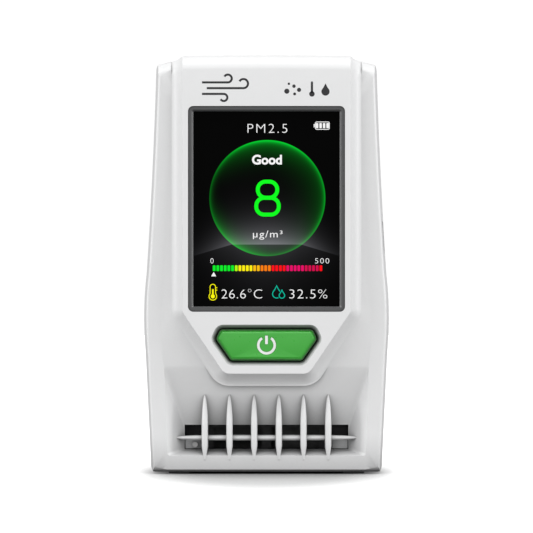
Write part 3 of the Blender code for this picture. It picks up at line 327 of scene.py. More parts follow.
# ---- finishes ------------------------------------------------------------------------------------
class Nodes:
    """A small helper that builds one material's node tree."""

    def __init__(self, name: str) -> None:
        """Make a material with an empty Principled shader.

        Args:
            name: Name of the material.
        """
        self.material = bpy.data.materials.new(name)
        self.material.use_nodes = True
        self.tree = self.material.node_tree
        self.shader = self.tree.nodes["Principled BSDF"]

    def add(self, kind: str, **settings: object) -> bpy.types.Node:
        """Add a node and set its properties.

        Args:
            kind: The node's type.
            **settings: Properties to set on it.

        Returns:
            The node.
        """
        node = self.tree.nodes.new(kind)
        for key, value in settings.items():
            setattr(node, key, value)
        return node

    def link(self, source: bpy.types.NodeSocket, target: bpy.types.NodeSocket) -> None:
        """Join two sockets."""
        self.tree.links.new(source, target)

    def place(self) -> bpy.types.NodeSocket:
        """Where a point lies on the piece, in metres."""
        return self.add("ShaderNodeTexCoord").outputs["Object"]

    def split(self) -> tuple[bpy.types.NodeSocket, bpy.types.NodeSocket]:
        """The X and Z of a point on the piece, in millimetres.

        Returns:
            The two sockets.
        """
        scaled = self.add("ShaderNodeVectorMath", operation="SCALE")
        scaled.inputs["Scale"].default_value = 1.0 / MM
        self.link(self.place(), scaled.inputs[0])
        parts = self.add("ShaderNodeSeparateXYZ")
        self.link(scaled.outputs[0], parts.inputs[0])
        return parts.outputs["X"], parts.outputs["Z"]

    def maths(self, kind: str, first: object, second: object = 0.0, third: object = 0.0,
              clamp: bool = False) -> bpy.types.NodeSocket:
        """One step of arithmetic on sockets or plain numbers.

        Args:
            kind: Name of the operation.
            first: First value.
            second: Second value.
            third: Third value.
            clamp: Whether to hold the result between 0 and 1.

        Returns:
            The result.
        """
        node = self.add("ShaderNodeMath", operation=kind, use_clamp=clamp)
        for socket, value in zip(node.inputs, (first, second, third)):
            if isinstance(value, bpy.types.NodeSocket):
                self.link(value, socket)
            else:
                socket.default_value = value
        return node.outputs[0]

    def noise(self, scale: float, detail: float = 3.0) -> bpy.types.NodeSocket:
        """Noise of a given fineness per metre.

        Args:
            scale: Its fineness per metre.
            detail: How many finer layers it has.

        Returns:
            The noise, from 0 to 1.
        """
        node = self.add("ShaderNodeTexNoise")
        node.inputs["Scale"].default_value = scale
        node.inputs["Detail"].default_value = detail
        self.link(self.place(), node.inputs["Vector"])
        return node.outputs["Fac"]

    def ramp(self, value: bpy.types.NodeSocket, stops: list[tuple[float, Colour]],
             stepped: bool = False) -> bpy.types.NodeSocket:
        """A colour that follows a value.

        Args:
            value: The value, from 0 to 1.
            stops: Places and their colours.
            stepped: Whether the colour jumps at each stop.

        Returns:
            The colour.
        """
        node = self.add("ShaderNodeValToRGB")
        node.color_ramp.interpolation = "CONSTANT" if stepped else "LINEAR"
        elements = node.color_ramp.elements
        while len(elements) < len(stops):
            elements.new(0.5)
        for element, (place, colour) in zip(elements, stops):
            element.position = place
            element.color = (*colour, 1.0)
        self.link(value, node.inputs[0])
        return node.outputs["Color"]

    def grain(self, scale: float, height: float) -> None:
        """Give the surface a fine moulded grain.

        Args:
            scale: Its fineness per metre.
            height: Its depth in millimetres.
        """
        bump = self.add("ShaderNodeBump")
        bump.inputs["Strength"].default_value = 0.35
        bump.inputs["Distance"].default_value = height * MM
        self.link(self.noise(scale, 4.0), bump.inputs["Height"])
        self.link(bump.outputs[0], self.shader.inputs["Normal"])

    def painted_hollow_shade(self, reach: float, power: float) -> bpy.types.NodeSocket:
        """Painted shade: how open the surface is to its surroundings, from 0 in a crevice to 1, for darkening
        colour where shade falls.

        Args:
            reach: How far round it looks, in metres.
            power: Above 1 deepens the shade.

        Returns:
            The share.
        """
        node = self.add("ShaderNodeAmbientOcclusion", samples=8)
        node.inputs["Distance"].default_value = reach
        return self.maths("POWER", node.outputs["AO"], power)

    def scaled(self, colour: bpy.types.NodeSocket, share: bpy.types.NodeSocket) -> bpy.types.NodeSocket:
        """A colour multiplied by a share.

        Args:
            colour: The colour.
            share: The share.

        Returns:
            The product.
        """
        node = self.add("ShaderNodeVectorMath", operation="SCALE")
        self.link(colour, node.inputs[0])
        self.link(share, node.inputs["Scale"])
        return node.outputs[0]

    def vary(self, socket: str, scale: float, low: float, high: float) -> None:
        """Let a shader value wander between two limits.

        Args:
            socket: Name of the shader value.
            scale: Its fineness per metre.
            low: Its lowest value.
            high: Its highest value.
        """
        spread = self.add("ShaderNodeMapRange")
        spread.inputs["From Min"].default_value = 0.3
        spread.inputs["From Max"].default_value = 0.7
        spread.inputs["To Min"].default_value = low
        spread.inputs["To Max"].default_value = high
        self.link(self.noise(scale), spread.inputs["Value"])
        self.link(spread.outputs[0], self.shader.inputs[socket])


@dataclass(frozen=True)
class Plastic:
    """Moulded plastic, foam or rubber: a colour with a fine grain and, when given a reach for it, painted
    shade that darkens its hollows and places near other parts.
    """

    name: str
    colour: Colour
    roughness: float = 0.4
    spread: float = 0.06
    tint: float = 0.03
    grain_scale: float = 5200.0
    grain_height: float = 0.02
    coat: float = 0.0
    metallic: float = 0.0
    hollow_shade_reach: float = 0.0
    hollow_shade_power: float = 1.0

    def make(self) -> bpy.types.Material:
        """Build the material.

        Returns:
            The material.
        """
        nodes = Nodes(self.name)
        dark = tuple(c * (1 - self.tint) for c in self.colour)
        light = tuple(min(c * (1 + self.tint), 1.0) for c in self.colour)
        colour = nodes.ramp(nodes.noise(240.0), [(0.35, dark), (0.65, light)])
        # Painted shade: darken the colour in hollows and near other parts by how open the surface is.
        if self.hollow_shade_reach > 0.0:
            colour = nodes.scaled(colour, nodes.painted_hollow_shade(self.hollow_shade_reach, self.hollow_shade_power))
        nodes.link(colour, nodes.shader.inputs["Base Color"])
        nodes.vary("Roughness", 900.0, self.roughness - self.spread, self.roughness + self.spread)
        nodes.shader.inputs["Metallic"].default_value = self.metallic
        nodes.shader.inputs["Coat Weight"].default_value = self.coat
        nodes.grain(self.grain_scale, self.grain_height)
        return nodes.material


@dataclass(frozen=True)
class Board:
    """Solder mask with faint copper tracks under it."""

    name: str = "solder_mask"
    mask: Colour = (0.012, 0.10, 0.038)
    track: Colour = (0.03, 0.17, 0.06)

    def make(self) -> bpy.types.Material:
        """Build the material.

        Returns:
            The material.
        """
        nodes = Nodes(self.name)
        cells = nodes.add("ShaderNodeTexVoronoi", distance="CHEBYCHEV", feature="F1")
        cells.inputs["Scale"].default_value = 320.0
        nodes.link(nodes.place(), cells.inputs["Vector"])
        stops = [(0.0, self.track), (0.18, self.track), (0.24, self.mask), (1.0, self.mask)]
        nodes.link(nodes.ramp(cells.outputs["Distance"], stops), nodes.shader.inputs["Base Color"])
        nodes.vary("Roughness", 700.0, 0.3, 0.45)
        nodes.grain(1500.0, 0.02)
        return nodes.material


@dataclass(frozen=True)
class RecessShade:
    """Painted shade for the button's recess: plastic coloured dark grey at the face and black further back,
    darker deeper in.
    """

    name: str
    face_y: float
    foot_y: float
    # Colours of the painted shade at the recess's face and at its foot.
    face: Colour = (0.52, 0.52, 0.525)
    foot: Colour = (0.008, 0.008, 0.008)

    def make(self) -> bpy.types.Material:
        """Build the material.

        Returns:
            The material.
        """
        nodes = Nodes(self.name)
        parts = nodes.add("ShaderNodeSeparateXYZ")
        nodes.link(nodes.place(), parts.inputs[0])
        depth = nodes.maths("SUBTRACT", parts.outputs["Y"], self.face_y * MM)
        share = nodes.maths("DIVIDE", depth, (self.foot_y - self.face_y) * MM, clamp=True)
        colour = nodes.ramp(share, [(0.1, self.face), (0.75, self.foot)])
        nodes.link(colour, nodes.shader.inputs["Base Color"])
        nodes.vary("Roughness", 900.0, 0.45, 0.55)
        nodes.grain(5200.0, 0.01)
        return nodes.material


@dataclass(frozen=True)
class Paper:
    """Pale paper for the floor that glows, dimly near the object and more further out so that it stays white,
    with a painted shadow near the object.
    """

    name: str = "floor_paper"
    colour: Colour = (0.7, 0.7, 0.7)
    near_glow: float = 0.14
    far_glow: float = 0.9
    # Reach, depth, oval half-sizes and start of the painted shadow round the object.
    shade_reach: float = 0.24
    shade_power: float = 2.0
    shade_half: tuple[float, float] = (0.046, 0.17)
    shade_start: float = 0.45

    def make(self) -> bpy.types.Material:
        """Build the material.

        Returns:
            The material.
        """
        nodes = Nodes(self.name)
        # Painted shadow: an oval mask round the object lets an ambient-occlusion share darken the floor near
        # it.
        oval = nodes.add("ShaderNodeVectorMath", operation="MULTIPLY")
        oval.inputs[1].default_value = (1.0 / self.shade_half[0], 1.0 / self.shade_half[1], 0.0)
        nodes.link(nodes.place(), oval.inputs[0])
        out = nodes.add("ShaderNodeVectorMath", operation="LENGTH")
        nodes.link(oval.outputs[0], out.inputs[0])
        painted_shadow_fade = nodes.add("ShaderNodeMapRange", interpolation_type="SMOOTHSTEP")
        painted_shadow_fade.inputs["From Min"].default_value = self.shade_start
        nodes.link(out.outputs["Value"], painted_shadow_fade.inputs["Value"])
        contact_shade = nodes.painted_hollow_shade(self.shade_reach, self.shade_power)
        shade = nodes.maths("MAXIMUM", contact_shade, painted_shadow_fade.outputs[0])
        dark = tuple(c * 0.995 for c in self.colour)
        colour = nodes.ramp(nodes.noise(60.0), [(0.4, dark), (0.6, self.colour)])
        nodes.link(nodes.scaled(colour, shade), nodes.shader.inputs["Base Color"])
        # The glow is dimmer near the object, as part of the painted shadow, and is darkened by that shadow
        # too.
        rise = self.far_glow - self.near_glow
        floor_glow = nodes.maths("MULTIPLY_ADD", painted_shadow_fade.outputs[0], rise, self.near_glow)
        nodes.shader.inputs["Emission Color"].default_value = (1.0, 1.0, 1.0, 1.0)
        strength = nodes.maths("MULTIPLY", floor_glow, shade)
        nodes.link(strength, nodes.shader.inputs["Emission Strength"])
        nodes.shader.inputs["Specular IOR Level"].default_value = 0.1
        nodes.vary("Roughness", 60.0, 0.88, 0.92)
        return nodes.material


@dataclass(frozen=True)
class Lit:
    """A part of the picture that shines in one colour."""

    name: str
    colour: Colour
    strength: float = 1.0

    def make(self) -> bpy.types.Material:
        """Build the material.

        Returns:
            The material.
        """
        nodes = Nodes(self.name)
        dim = tuple(c * 0.94 for c in self.colour)
        glow = nodes.ramp(nodes.noise(2600.0), [(0.3, dim), (0.7, self.colour)])
        nodes.link(glow, nodes.shader.inputs["Emission Color"])
        nodes.shader.inputs["Emission Strength"].default_value = self.strength
        nodes.shader.inputs["Base Color"].default_value = (0.005, 0.005, 0.005, 1.0)
        nodes.shader.inputs["Specular IOR Level"].default_value = 0.02
        nodes.vary("Roughness", 900.0, 0.10, 0.16)
        return nodes.material


@dataclass(frozen=True)
class ScaleBar:
    """The lit scale, whose colour runs from green to magenta and red."""

    name: str
    left: float
    right: float
    steps: int = 30
    green: Colour = (0.0, 0.85, 0.02)
    lime: Colour = (0.45, 0.95, 0.0)
    yellow: Colour = (1.0, 0.86, 0.0)
    amber: Colour = (0.95, 0.50, 0.0)
    orange: Colour = (0.95, 0.20, 0.0)
    red: Colour = (1.0, 0.0, 0.005)
    magenta: Colour = (0.80, 0.0, 0.13)
    rose: Colour = (0.65, 0.0, 0.07)

    def make(self) -> bpy.types.Material:
        """Build the material.

        Returns:
            The material.
        """
        nodes = Nodes(self.name)
        x, _ = nodes.split()
        share = nodes.maths("DIVIDE", nodes.maths("SUBTRACT", x, self.left), self.right - self.left)
        starts = {0: self.green, 6: self.lime, 7: self.yellow, 11: self.amber, 13: self.orange,
                  16: self.red, 20: self.magenta, 25: self.rose, 29: self.red}
        stops = [(first / self.steps, colour) for first, colour in starts.items()]
        nodes.link(nodes.ramp(share, stops, stepped=True), nodes.shader.inputs["Emission Color"])
        nodes.shader.inputs["Emission Strength"].default_value = 1.0
        nodes.shader.inputs["Base Color"].default_value = (0.005, 0.005, 0.005, 1.0)
        nodes.shader.inputs["Specular IOR Level"].default_value = 0.02
        nodes.vary("Roughness", 900.0, 0.10, 0.16)
        return nodes.material


@dataclass(frozen=True)
class RoomPicture:
    """The screen's backdrop: a dark room seen through a glowing green globe."""

    name: str = "screen_picture"
    globe: Point = (0.25, 81.5)
    globe_r: float = 17.1
    horizon: float = 67.8
    wall_half: float = 10.3
    wall_slope: float = 0.30
    green: Colour = (0.0, 0.62, 0.03)
    haze: Colour = (0.30, 0.30, 0.33)

    def globe_glow(self, nodes: Nodes, x: bpy.types.NodeSocket,
                   z: bpy.types.NodeSocket) -> bpy.types.NodeSocket:
        """Strength of the green rim: a thin line that spreads inwards where it is bright.

        Args:
            nodes: The material's node tree.
            x: Millimetres to the right.
            z: Millimetres up.

        Returns:
            The strength from 0 to about 1.
        """
        dx = nodes.maths("SUBTRACT", x, self.globe[0])
        dz = nodes.maths("SUBTRACT", z, self.globe[1])
        square = nodes.maths("ADD", nodes.maths("MULTIPLY", dx, dx), nodes.maths("MULTIPLY", dz, dz))
        depth = nodes.maths("SUBTRACT", self.globe_r, nodes.maths("SQRT", square))
        inside = nodes.maths("MULTIPLY_ADD", depth, 5.0, 0.5, clamp=True)
        up = nodes.maths("DIVIDE", dz, self.globe_r)
        right = nodes.maths("DIVIDE", dx, self.globe_r)
        top = nodes.maths("POWER", nodes.maths("MAXIMUM", up, 0.0), 3.0)
        lean = nodes.maths("ADD", nodes.maths("MULTIPLY", right, -0.55), nodes.maths("MULTIPLY", up, -0.83))
        low_left = nodes.maths("POWER", nodes.maths("MAXIMUM", lean, 0.0), 6.0)
        side = nodes.maths("MULTIPLY", nodes.maths("MAXIMUM", right, 0.0), 0.35)
        line_level = nodes.maths("ADD", nodes.maths("ADD", top, side), 0.22)
        line_level = nodes.maths("ADD", line_level, nodes.maths("MULTIPLY", low_left, 0.12))
        thin = nodes.maths("EXPONENT", nodes.maths("MULTIPLY", depth, -2.2))
        line = nodes.maths("MULTIPLY", thin, line_level)
        wide = nodes.maths("ADD", nodes.maths("MULTIPLY", top, 0.26), nodes.maths("MULTIPLY", low_left, 0.42))
        wide = nodes.maths("ADD", wide, nodes.maths("MULTIPLY", side, 0.25))
        spread = nodes.maths("MULTIPLY", nodes.maths("EXPONENT", nodes.maths("MULTIPLY", depth, -0.24)), wide)
        return nodes.maths("MULTIPLY", nodes.maths("ADD", line, spread), inside)

    def room_light(self, nodes: Nodes, x: bpy.types.NodeSocket,
                   z: bpy.types.NodeSocket) -> bpy.types.NodeSocket:
        """Grey light on the room's back wall and floor.

        Args:
            nodes: The material's node tree.
            x: Millimetres to the right.
            z: Millimetres up.

        Returns:
            The strength from 0 to about 1.
        """
        aside = nodes.maths("ABSOLUTE", x)
        beyond = nodes.maths("MAXIMUM", nodes.maths("SUBTRACT", aside, self.wall_half), 0.0)
        edge = nodes.maths("SUBTRACT", self.horizon, nodes.maths("MULTIPLY", beyond, self.wall_slope))
        above = nodes.maths("SUBTRACT", z, edge)
        on_wall = nodes.maths("MULTIPLY_ADD", above, 6.0, 0.5, clamp=True)
        rise = nodes.maths("EXPONENT", nodes.maths("MULTIPLY", above, -0.30))
        across = nodes.maths("EXPONENT", nodes.maths("MULTIPLY", nodes.maths("MULTIPLY", x, x), -0.0065))
        wall_level = nodes.maths("MULTIPLY", on_wall, 0.62)
        wall = nodes.maths("MULTIPLY", nodes.maths("MULTIPLY", rise, across), wall_level)
        off_wall = nodes.maths("SUBTRACT", 1.0, on_wall)
        fall = nodes.maths("EXPONENT", nodes.maths("MULTIPLY", above, 0.16))
        floor_level = nodes.maths("MULTIPLY", off_wall, 0.13)
        floor = nodes.maths("MULTIPLY", nodes.maths("MULTIPLY", fall, across), floor_level)
        return nodes.maths("ADD", wall, floor)

    def make(self) -> bpy.types.Material:
        """Build the material.

        Returns:
            The material.
        """
        nodes = Nodes(self.name)
        x, z = nodes.split()
        both = nodes.add("ShaderNodeMix", data_type="RGBA", blend_type="ADD")
        both.inputs["Factor"].default_value = 1.0
        lights = ((self.globe_glow(nodes, x, z), self.green, "A"),
                  (self.room_light(nodes, x, z), self.haze, "B"))
        for strength, colour, side in lights:
            light = nodes.add("ShaderNodeMix", data_type="RGBA", blend_type="MIX")
            light.inputs["A"].default_value = (0.0, 0.0, 0.0, 1.0)
            light.inputs["B"].default_value = (*colour, 1.0)
            nodes.link(strength, light.inputs["Factor"])
            nodes.link(light.outputs["Result"], both.inputs[side])
        nodes.link(both.outputs["Result"], nodes.shader.inputs["Emission Color"])
        nodes.shader.inputs["Emission Strength"].default_value = 1.0
        nodes.shader.inputs["Base Color"].default_value = (0.001, 0.001, 0.001, 1.0)
        nodes.shader.inputs["Specular IOR Level"].default_value = 0.02
        nodes.vary("Roughness", 300.0, 0.14, 0.2)
        return nodes.material


@dataclass(frozen=True)
class Finishes:
    """Every finish on the object, made once."""

    case: bpy.types.Material
    bezel: bpy.types.Material
    button: bpy.types.Material
    mark: bpy.types.Material
    grey: bpy.types.Material
    dark_steel: bpy.types.Material
    dark_board: bpy.types.Material
    black: bpy.types.Material
    white: bpy.types.Material
    rubber: bpy.types.Material
    foam: bpy.types.Material
    board: bpy.types.Material
    steel: bpy.types.Material
    ribbon: bpy.types.Material
    cell: bpy.types.Material
    brass: bpy.types.Material
    print_black: bpy.types.Material
    panel: bpy.types.Material

    @classmethod
    def create(cls) -> Finishes:
        """Make all the materials.

        Returns:
            The materials.
        """
        return cls(
            # The case plastic carries painted shade in its hollows and near other parts.
            case=Plastic("case_plastic", (0.80, 0.803, 0.806), 0.36, 0.03, 0.006, grain_height=0.008,
                         hollow_shade_reach=0.012, hollow_shade_power=0.8).make(),
            bezel=Plastic("bezel_plastic", (0.06, 0.061, 0.063), 0.3, 0.03, 0.01, grain_height=0.004,
                          coat=0.4).make(),
            button=Plastic("button_plastic", (0.022, 0.40, 0.016), 0.3, 0.03, 0.01, grain_height=0.004,
                           coat=0.8).make(),
            mark=Plastic("mark_plastic", (0.86, 0.9, 0.86), 0.4).make(),
            # The intake plastic carries painted shade in its hollows too, over a shorter reach.
            grey=Plastic("intake_plastic", (0.56, 0.565, 0.57), 0.5, hollow_shade_reach=0.003).make(),
            dark_steel=Plastic("blackened_steel", (0.30, 0.30, 0.30), 0.35, 0.1, metallic=1.0).make(),
            black=Plastic("black_plastic", (0.012, 0.012, 0.013), 0.5).make(),
            white=Plastic("white_plastic", (0.74, 0.74, 0.72), 0.5).make(),
            rubber=Plastic("foot_rubber", (0.02, 0.02, 0.021), 0.8, grain_scale=2600.0).make(),
            foam=Plastic("seal_foam", (0.02, 0.02, 0.022), 0.95, 0.03, 0.3, 1800.0, 0.2).make(),
            board=Board().make(),
            dark_board=Board("black_mask", (0.004, 0.006, 0.005), (0.009, 0.012, 0.010)).make(),
            steel=Plastic("plated_steel", (0.62, 0.62, 0.62), 0.3, 0.1, metallic=1.0).make(),
            ribbon=Plastic("ribbon_film", (0.45, 0.2, 0.03), 0.35, coat=0.5).make(),
            cell=Plastic("cell_foil", (0.56, 0.57, 0.6), 0.36, metallic=0.9, grain_scale=900.0).make(),
            brass=Plastic("turned_brass", (0.7, 0.48, 0.18), 0.28, metallic=1.0).make(),
            print_black=Plastic("printed_ink", (0.015, 0.015, 0.017), 0.45).make(),
            panel=Plastic("panel_black", (0.01, 0.011, 0.013), 0.2, 0.03).make(),
        )


def dress(item: bpy.types.Object, material: bpy.types.Material) -> bpy.types.Object:
    """Give a piece one material.

    Args:
        item: The piece.
        material: Its material.

    Returns:
        The same piece.
    """
    item.data.materials.clear()
    item.data.materials.append(material)
    return item


# ---- the case ------------------------------------------------------------------------------------
@dataclass(frozen=True)
class CaseShape:
    """Sizes and outlines that both covers share, the same as the frame's."""

    height: float = 123.7
    face_y: float = -17.0
    wing_y: float = -13.9
    back_y: float = 17.0
    parting_y: float = 1.0
    gap: float = 0.3
    wall: float = 2.0
    base_z: float = 0.6
    base_half: float = 34.35
    waist_half: float = 36.6
    shoulder_half: float = 32.85
    waist_z: float = 47.0
    waist_round: float = 12.0
    side_bow: float = 0.8
    rim_draft: float = 0.9
    rim_round: float = 0.8
    dish: float = 0.45
    dish_run: float = 3.4
    back_draft: float = 0.8
    back_round: float = 3.0
    top_round: float = 4.4
    base_round: float = 2.0
    crown: float = 0.25
    wing_drop: float = 1.7
    shoulder_drop: float = 2.6
    corner: float = 1.3
    band_half: float = 24.8
    band_bend_z: float = 47.9
    funnel_half: float = 12.4
    funnel_z: float = 29.7
    funnel_corner: float = 3.0
    cove_run: float = 3.5
    cove_sag: float = 0.7
    cove_bite: float = 0.08
    cove_foot: float = 3.7
    outside: float = 5.0
    lead: float = 0.02
    foot_x: float = 26.0
    foot_r: float = 3.25
    foot_deep: float = 1.3
    levels: int = 60
    steps: int = 12

    def half_width(self, z: float) -> float:
        """Half width of the case's outline at a height.

        Args:
            z: Height in millimetres.

        Returns:
            Half the width.
        """
        lower = self.base_half + (self.waist_half - self.base_half) * z / self.waist_z
        share = (z - self.waist_z) / (self.height - self.shoulder_drop - self.waist_z)
        bow = 2 * self.side_bow * share * (1 - share)
        upper = self.waist_half + (self.shoulder_half - self.waist_half) * share - bow
        if z < self.waist_z - self.waist_round:
            return lower
        if z > self.waist_z + self.waist_round:
            return upper
        mix = (z - self.waist_z + self.waist_round) / (2 * self.waist_round)
        middle = self.waist_half - self.side_bow / 4
        return lower * (1 - mix) ** 2 + 2 * mix * (1 - mix) * middle + upper * mix ** 2

    def silhouette(self, inset: float, low: float, high: float) -> Outline:
        """The case's outline between two heights, moved in at its sides."""
        heights = [low + (high - low) * level / self.levels for level in range(self.levels + 1)]
        return mirrored([(self.half_width(z) - inset, z) for z in heights])

    def band_outline(self, out: float) -> Outline:
        """The centre band and its funnel, open past the top of the case.

        Args:
            out: How far out.

        Returns:
            The outline.
        """
        top = self.height + 4 * self.outside
        left = [(-self.band_half, top), (-self.band_half, self.band_bend_z),
                (-self.funnel_half, self.funnel_z)]
        corners = left + [(-x, z) for x, z in reversed(left)]
        return rounded(offset(corners, out), max(self.funnel_corner + out, 0.2), self.steps)

    def cove(self, out: float) -> float:
        """How far the surface falls back at a distance out from the band's edge.

        Args:
            out: How far out.

        Returns:
            How far back.
        """
        share = min(max(out / self.cove_run, 0.0), 1.0)
        drop = self.wing_y - self.face_y + self.dish + self.cove_bite
        return drop * share + 4 * self.cove_sag * share * (1 - share)

    def side_profile(self, x: float, top: float, base: float, front: float) -> Ring:
        """The case seen from its side at one x.

        Args:
            x: Where the section is.
            top: Height of its top.
            base: Height of its base.
            front: The y that the top's rounding runs into.

        Returns:
            A closed ring of points.
        """
        far = self.face_y - self.outside
        top_r, base_r = self.top_round, self.base_round
        front_edge, base_edge = front - self.lead, self.wing_y - self.lead
        loop = [(far, base + base_r + self.outside / 8)]
        loop += arc((base_edge + base_r, base + base_r), base_r, 180.0, 270.0, self.steps)
        loop += arc((self.back_y - base_r, base + base_r), base_r, 270.0, 360.0, self.steps)
        loop += arc((self.back_y - top_r, top - top_r), top_r, 0.0, 90.0, self.steps)
        loop += arc((front_edge + top_r, top - top_r), top_r, 90.0, 180.0, self.steps)
        loop.append((far, top - top_r - self.outside / 8))
        return [(x, y, z) for y, z in loop]

    def sections(self) -> list[tuple[float, float, float, float]]:
        """The x, drop of the top, rise of the base and front y, from the middle line outwards.

        Returns:
            One row for each section.
        """
        found = [(0.0, 0.0, 0.0, self.face_y), (self.band_half / 2, self.crown / 4, 0.0, self.face_y),
                 (self.band_half, self.crown, 0.0, self.face_y)]
        for step in range(1, self.steps):
            out = self.cove_run * step / self.steps
            share = self.cove(out) / self.cove(self.cove_run)
            drop = self.crown + (self.wing_drop - self.crown) * share
            found.append((self.band_half + out, drop, 0.0, self.face_y + self.cove(out)))
        found.append((self.band_half + self.cove_run, self.wing_drop, 0.0, self.wing_y))
        for angle in range(0, 88, 8):
            turn = math.radians(angle)
            x = self.shoulder_half - self.corner + self.corner * math.sin(turn)
            found.append((x, self.shoulder_drop + self.corner * (1 - math.cos(turn)), 0.0, self.wing_y))
        for angle in range(20, 88, 8):
            turn = math.radians(angle)
            x = self.base_half - self.corner + self.corner * math.sin(turn)
            drop = self.shoulder_drop + self.corner + 4 * (x - self.shoulder_half)
            found.append((x, drop, self.corner * (1 - math.cos(turn)), self.wing_y))
        far = self.waist_half + self.outside
        drop = self.shoulder_drop + self.corner + 4 * (far - self.shoulder_half)
        found.append((far, drop, 4 * self.corner, self.wing_y))
        return found

    def profile_solid(self) -> bpy.types.Object:
        """The case's top, base, front and back edges as one solid, lofted from side to side.

        Returns:
            The solid.
        """
        right = self.sections()
        every = [(-x, drop, rise, front) for x, drop, rise, front in reversed(right[1:])] + right
        rings = [self.side_profile(x, self.height - drop, self.base_z + rise, front)
                 for x, drop, rise, front in every]
        return loft("profile", rings)

    def screw_places(self) -> list[Point]:
        """Where the four screws that hold the covers are."""
        return [(-28.2, 113.0), (28.2, 113.0), (-29.4, 10.0), (29.4, 10.0)]

    def board_screw_places(self) -> list[Point]:
        """Where the four screws that hold the main board are."""
        return [(-27.6, 56.0), (27.6, 56.0), (-27.6, 97.0), (27.6, 97.0)]

    def foot_pockets(self, y: float) -> list[bpy.types.Object]:
        """The two round pockets for the feet at one y."""
        return [rod_z("pocket", side * self.foot_x, y, self.foot_r, -self.outside, self.foot_deep)
                for side in (-1, 1)]


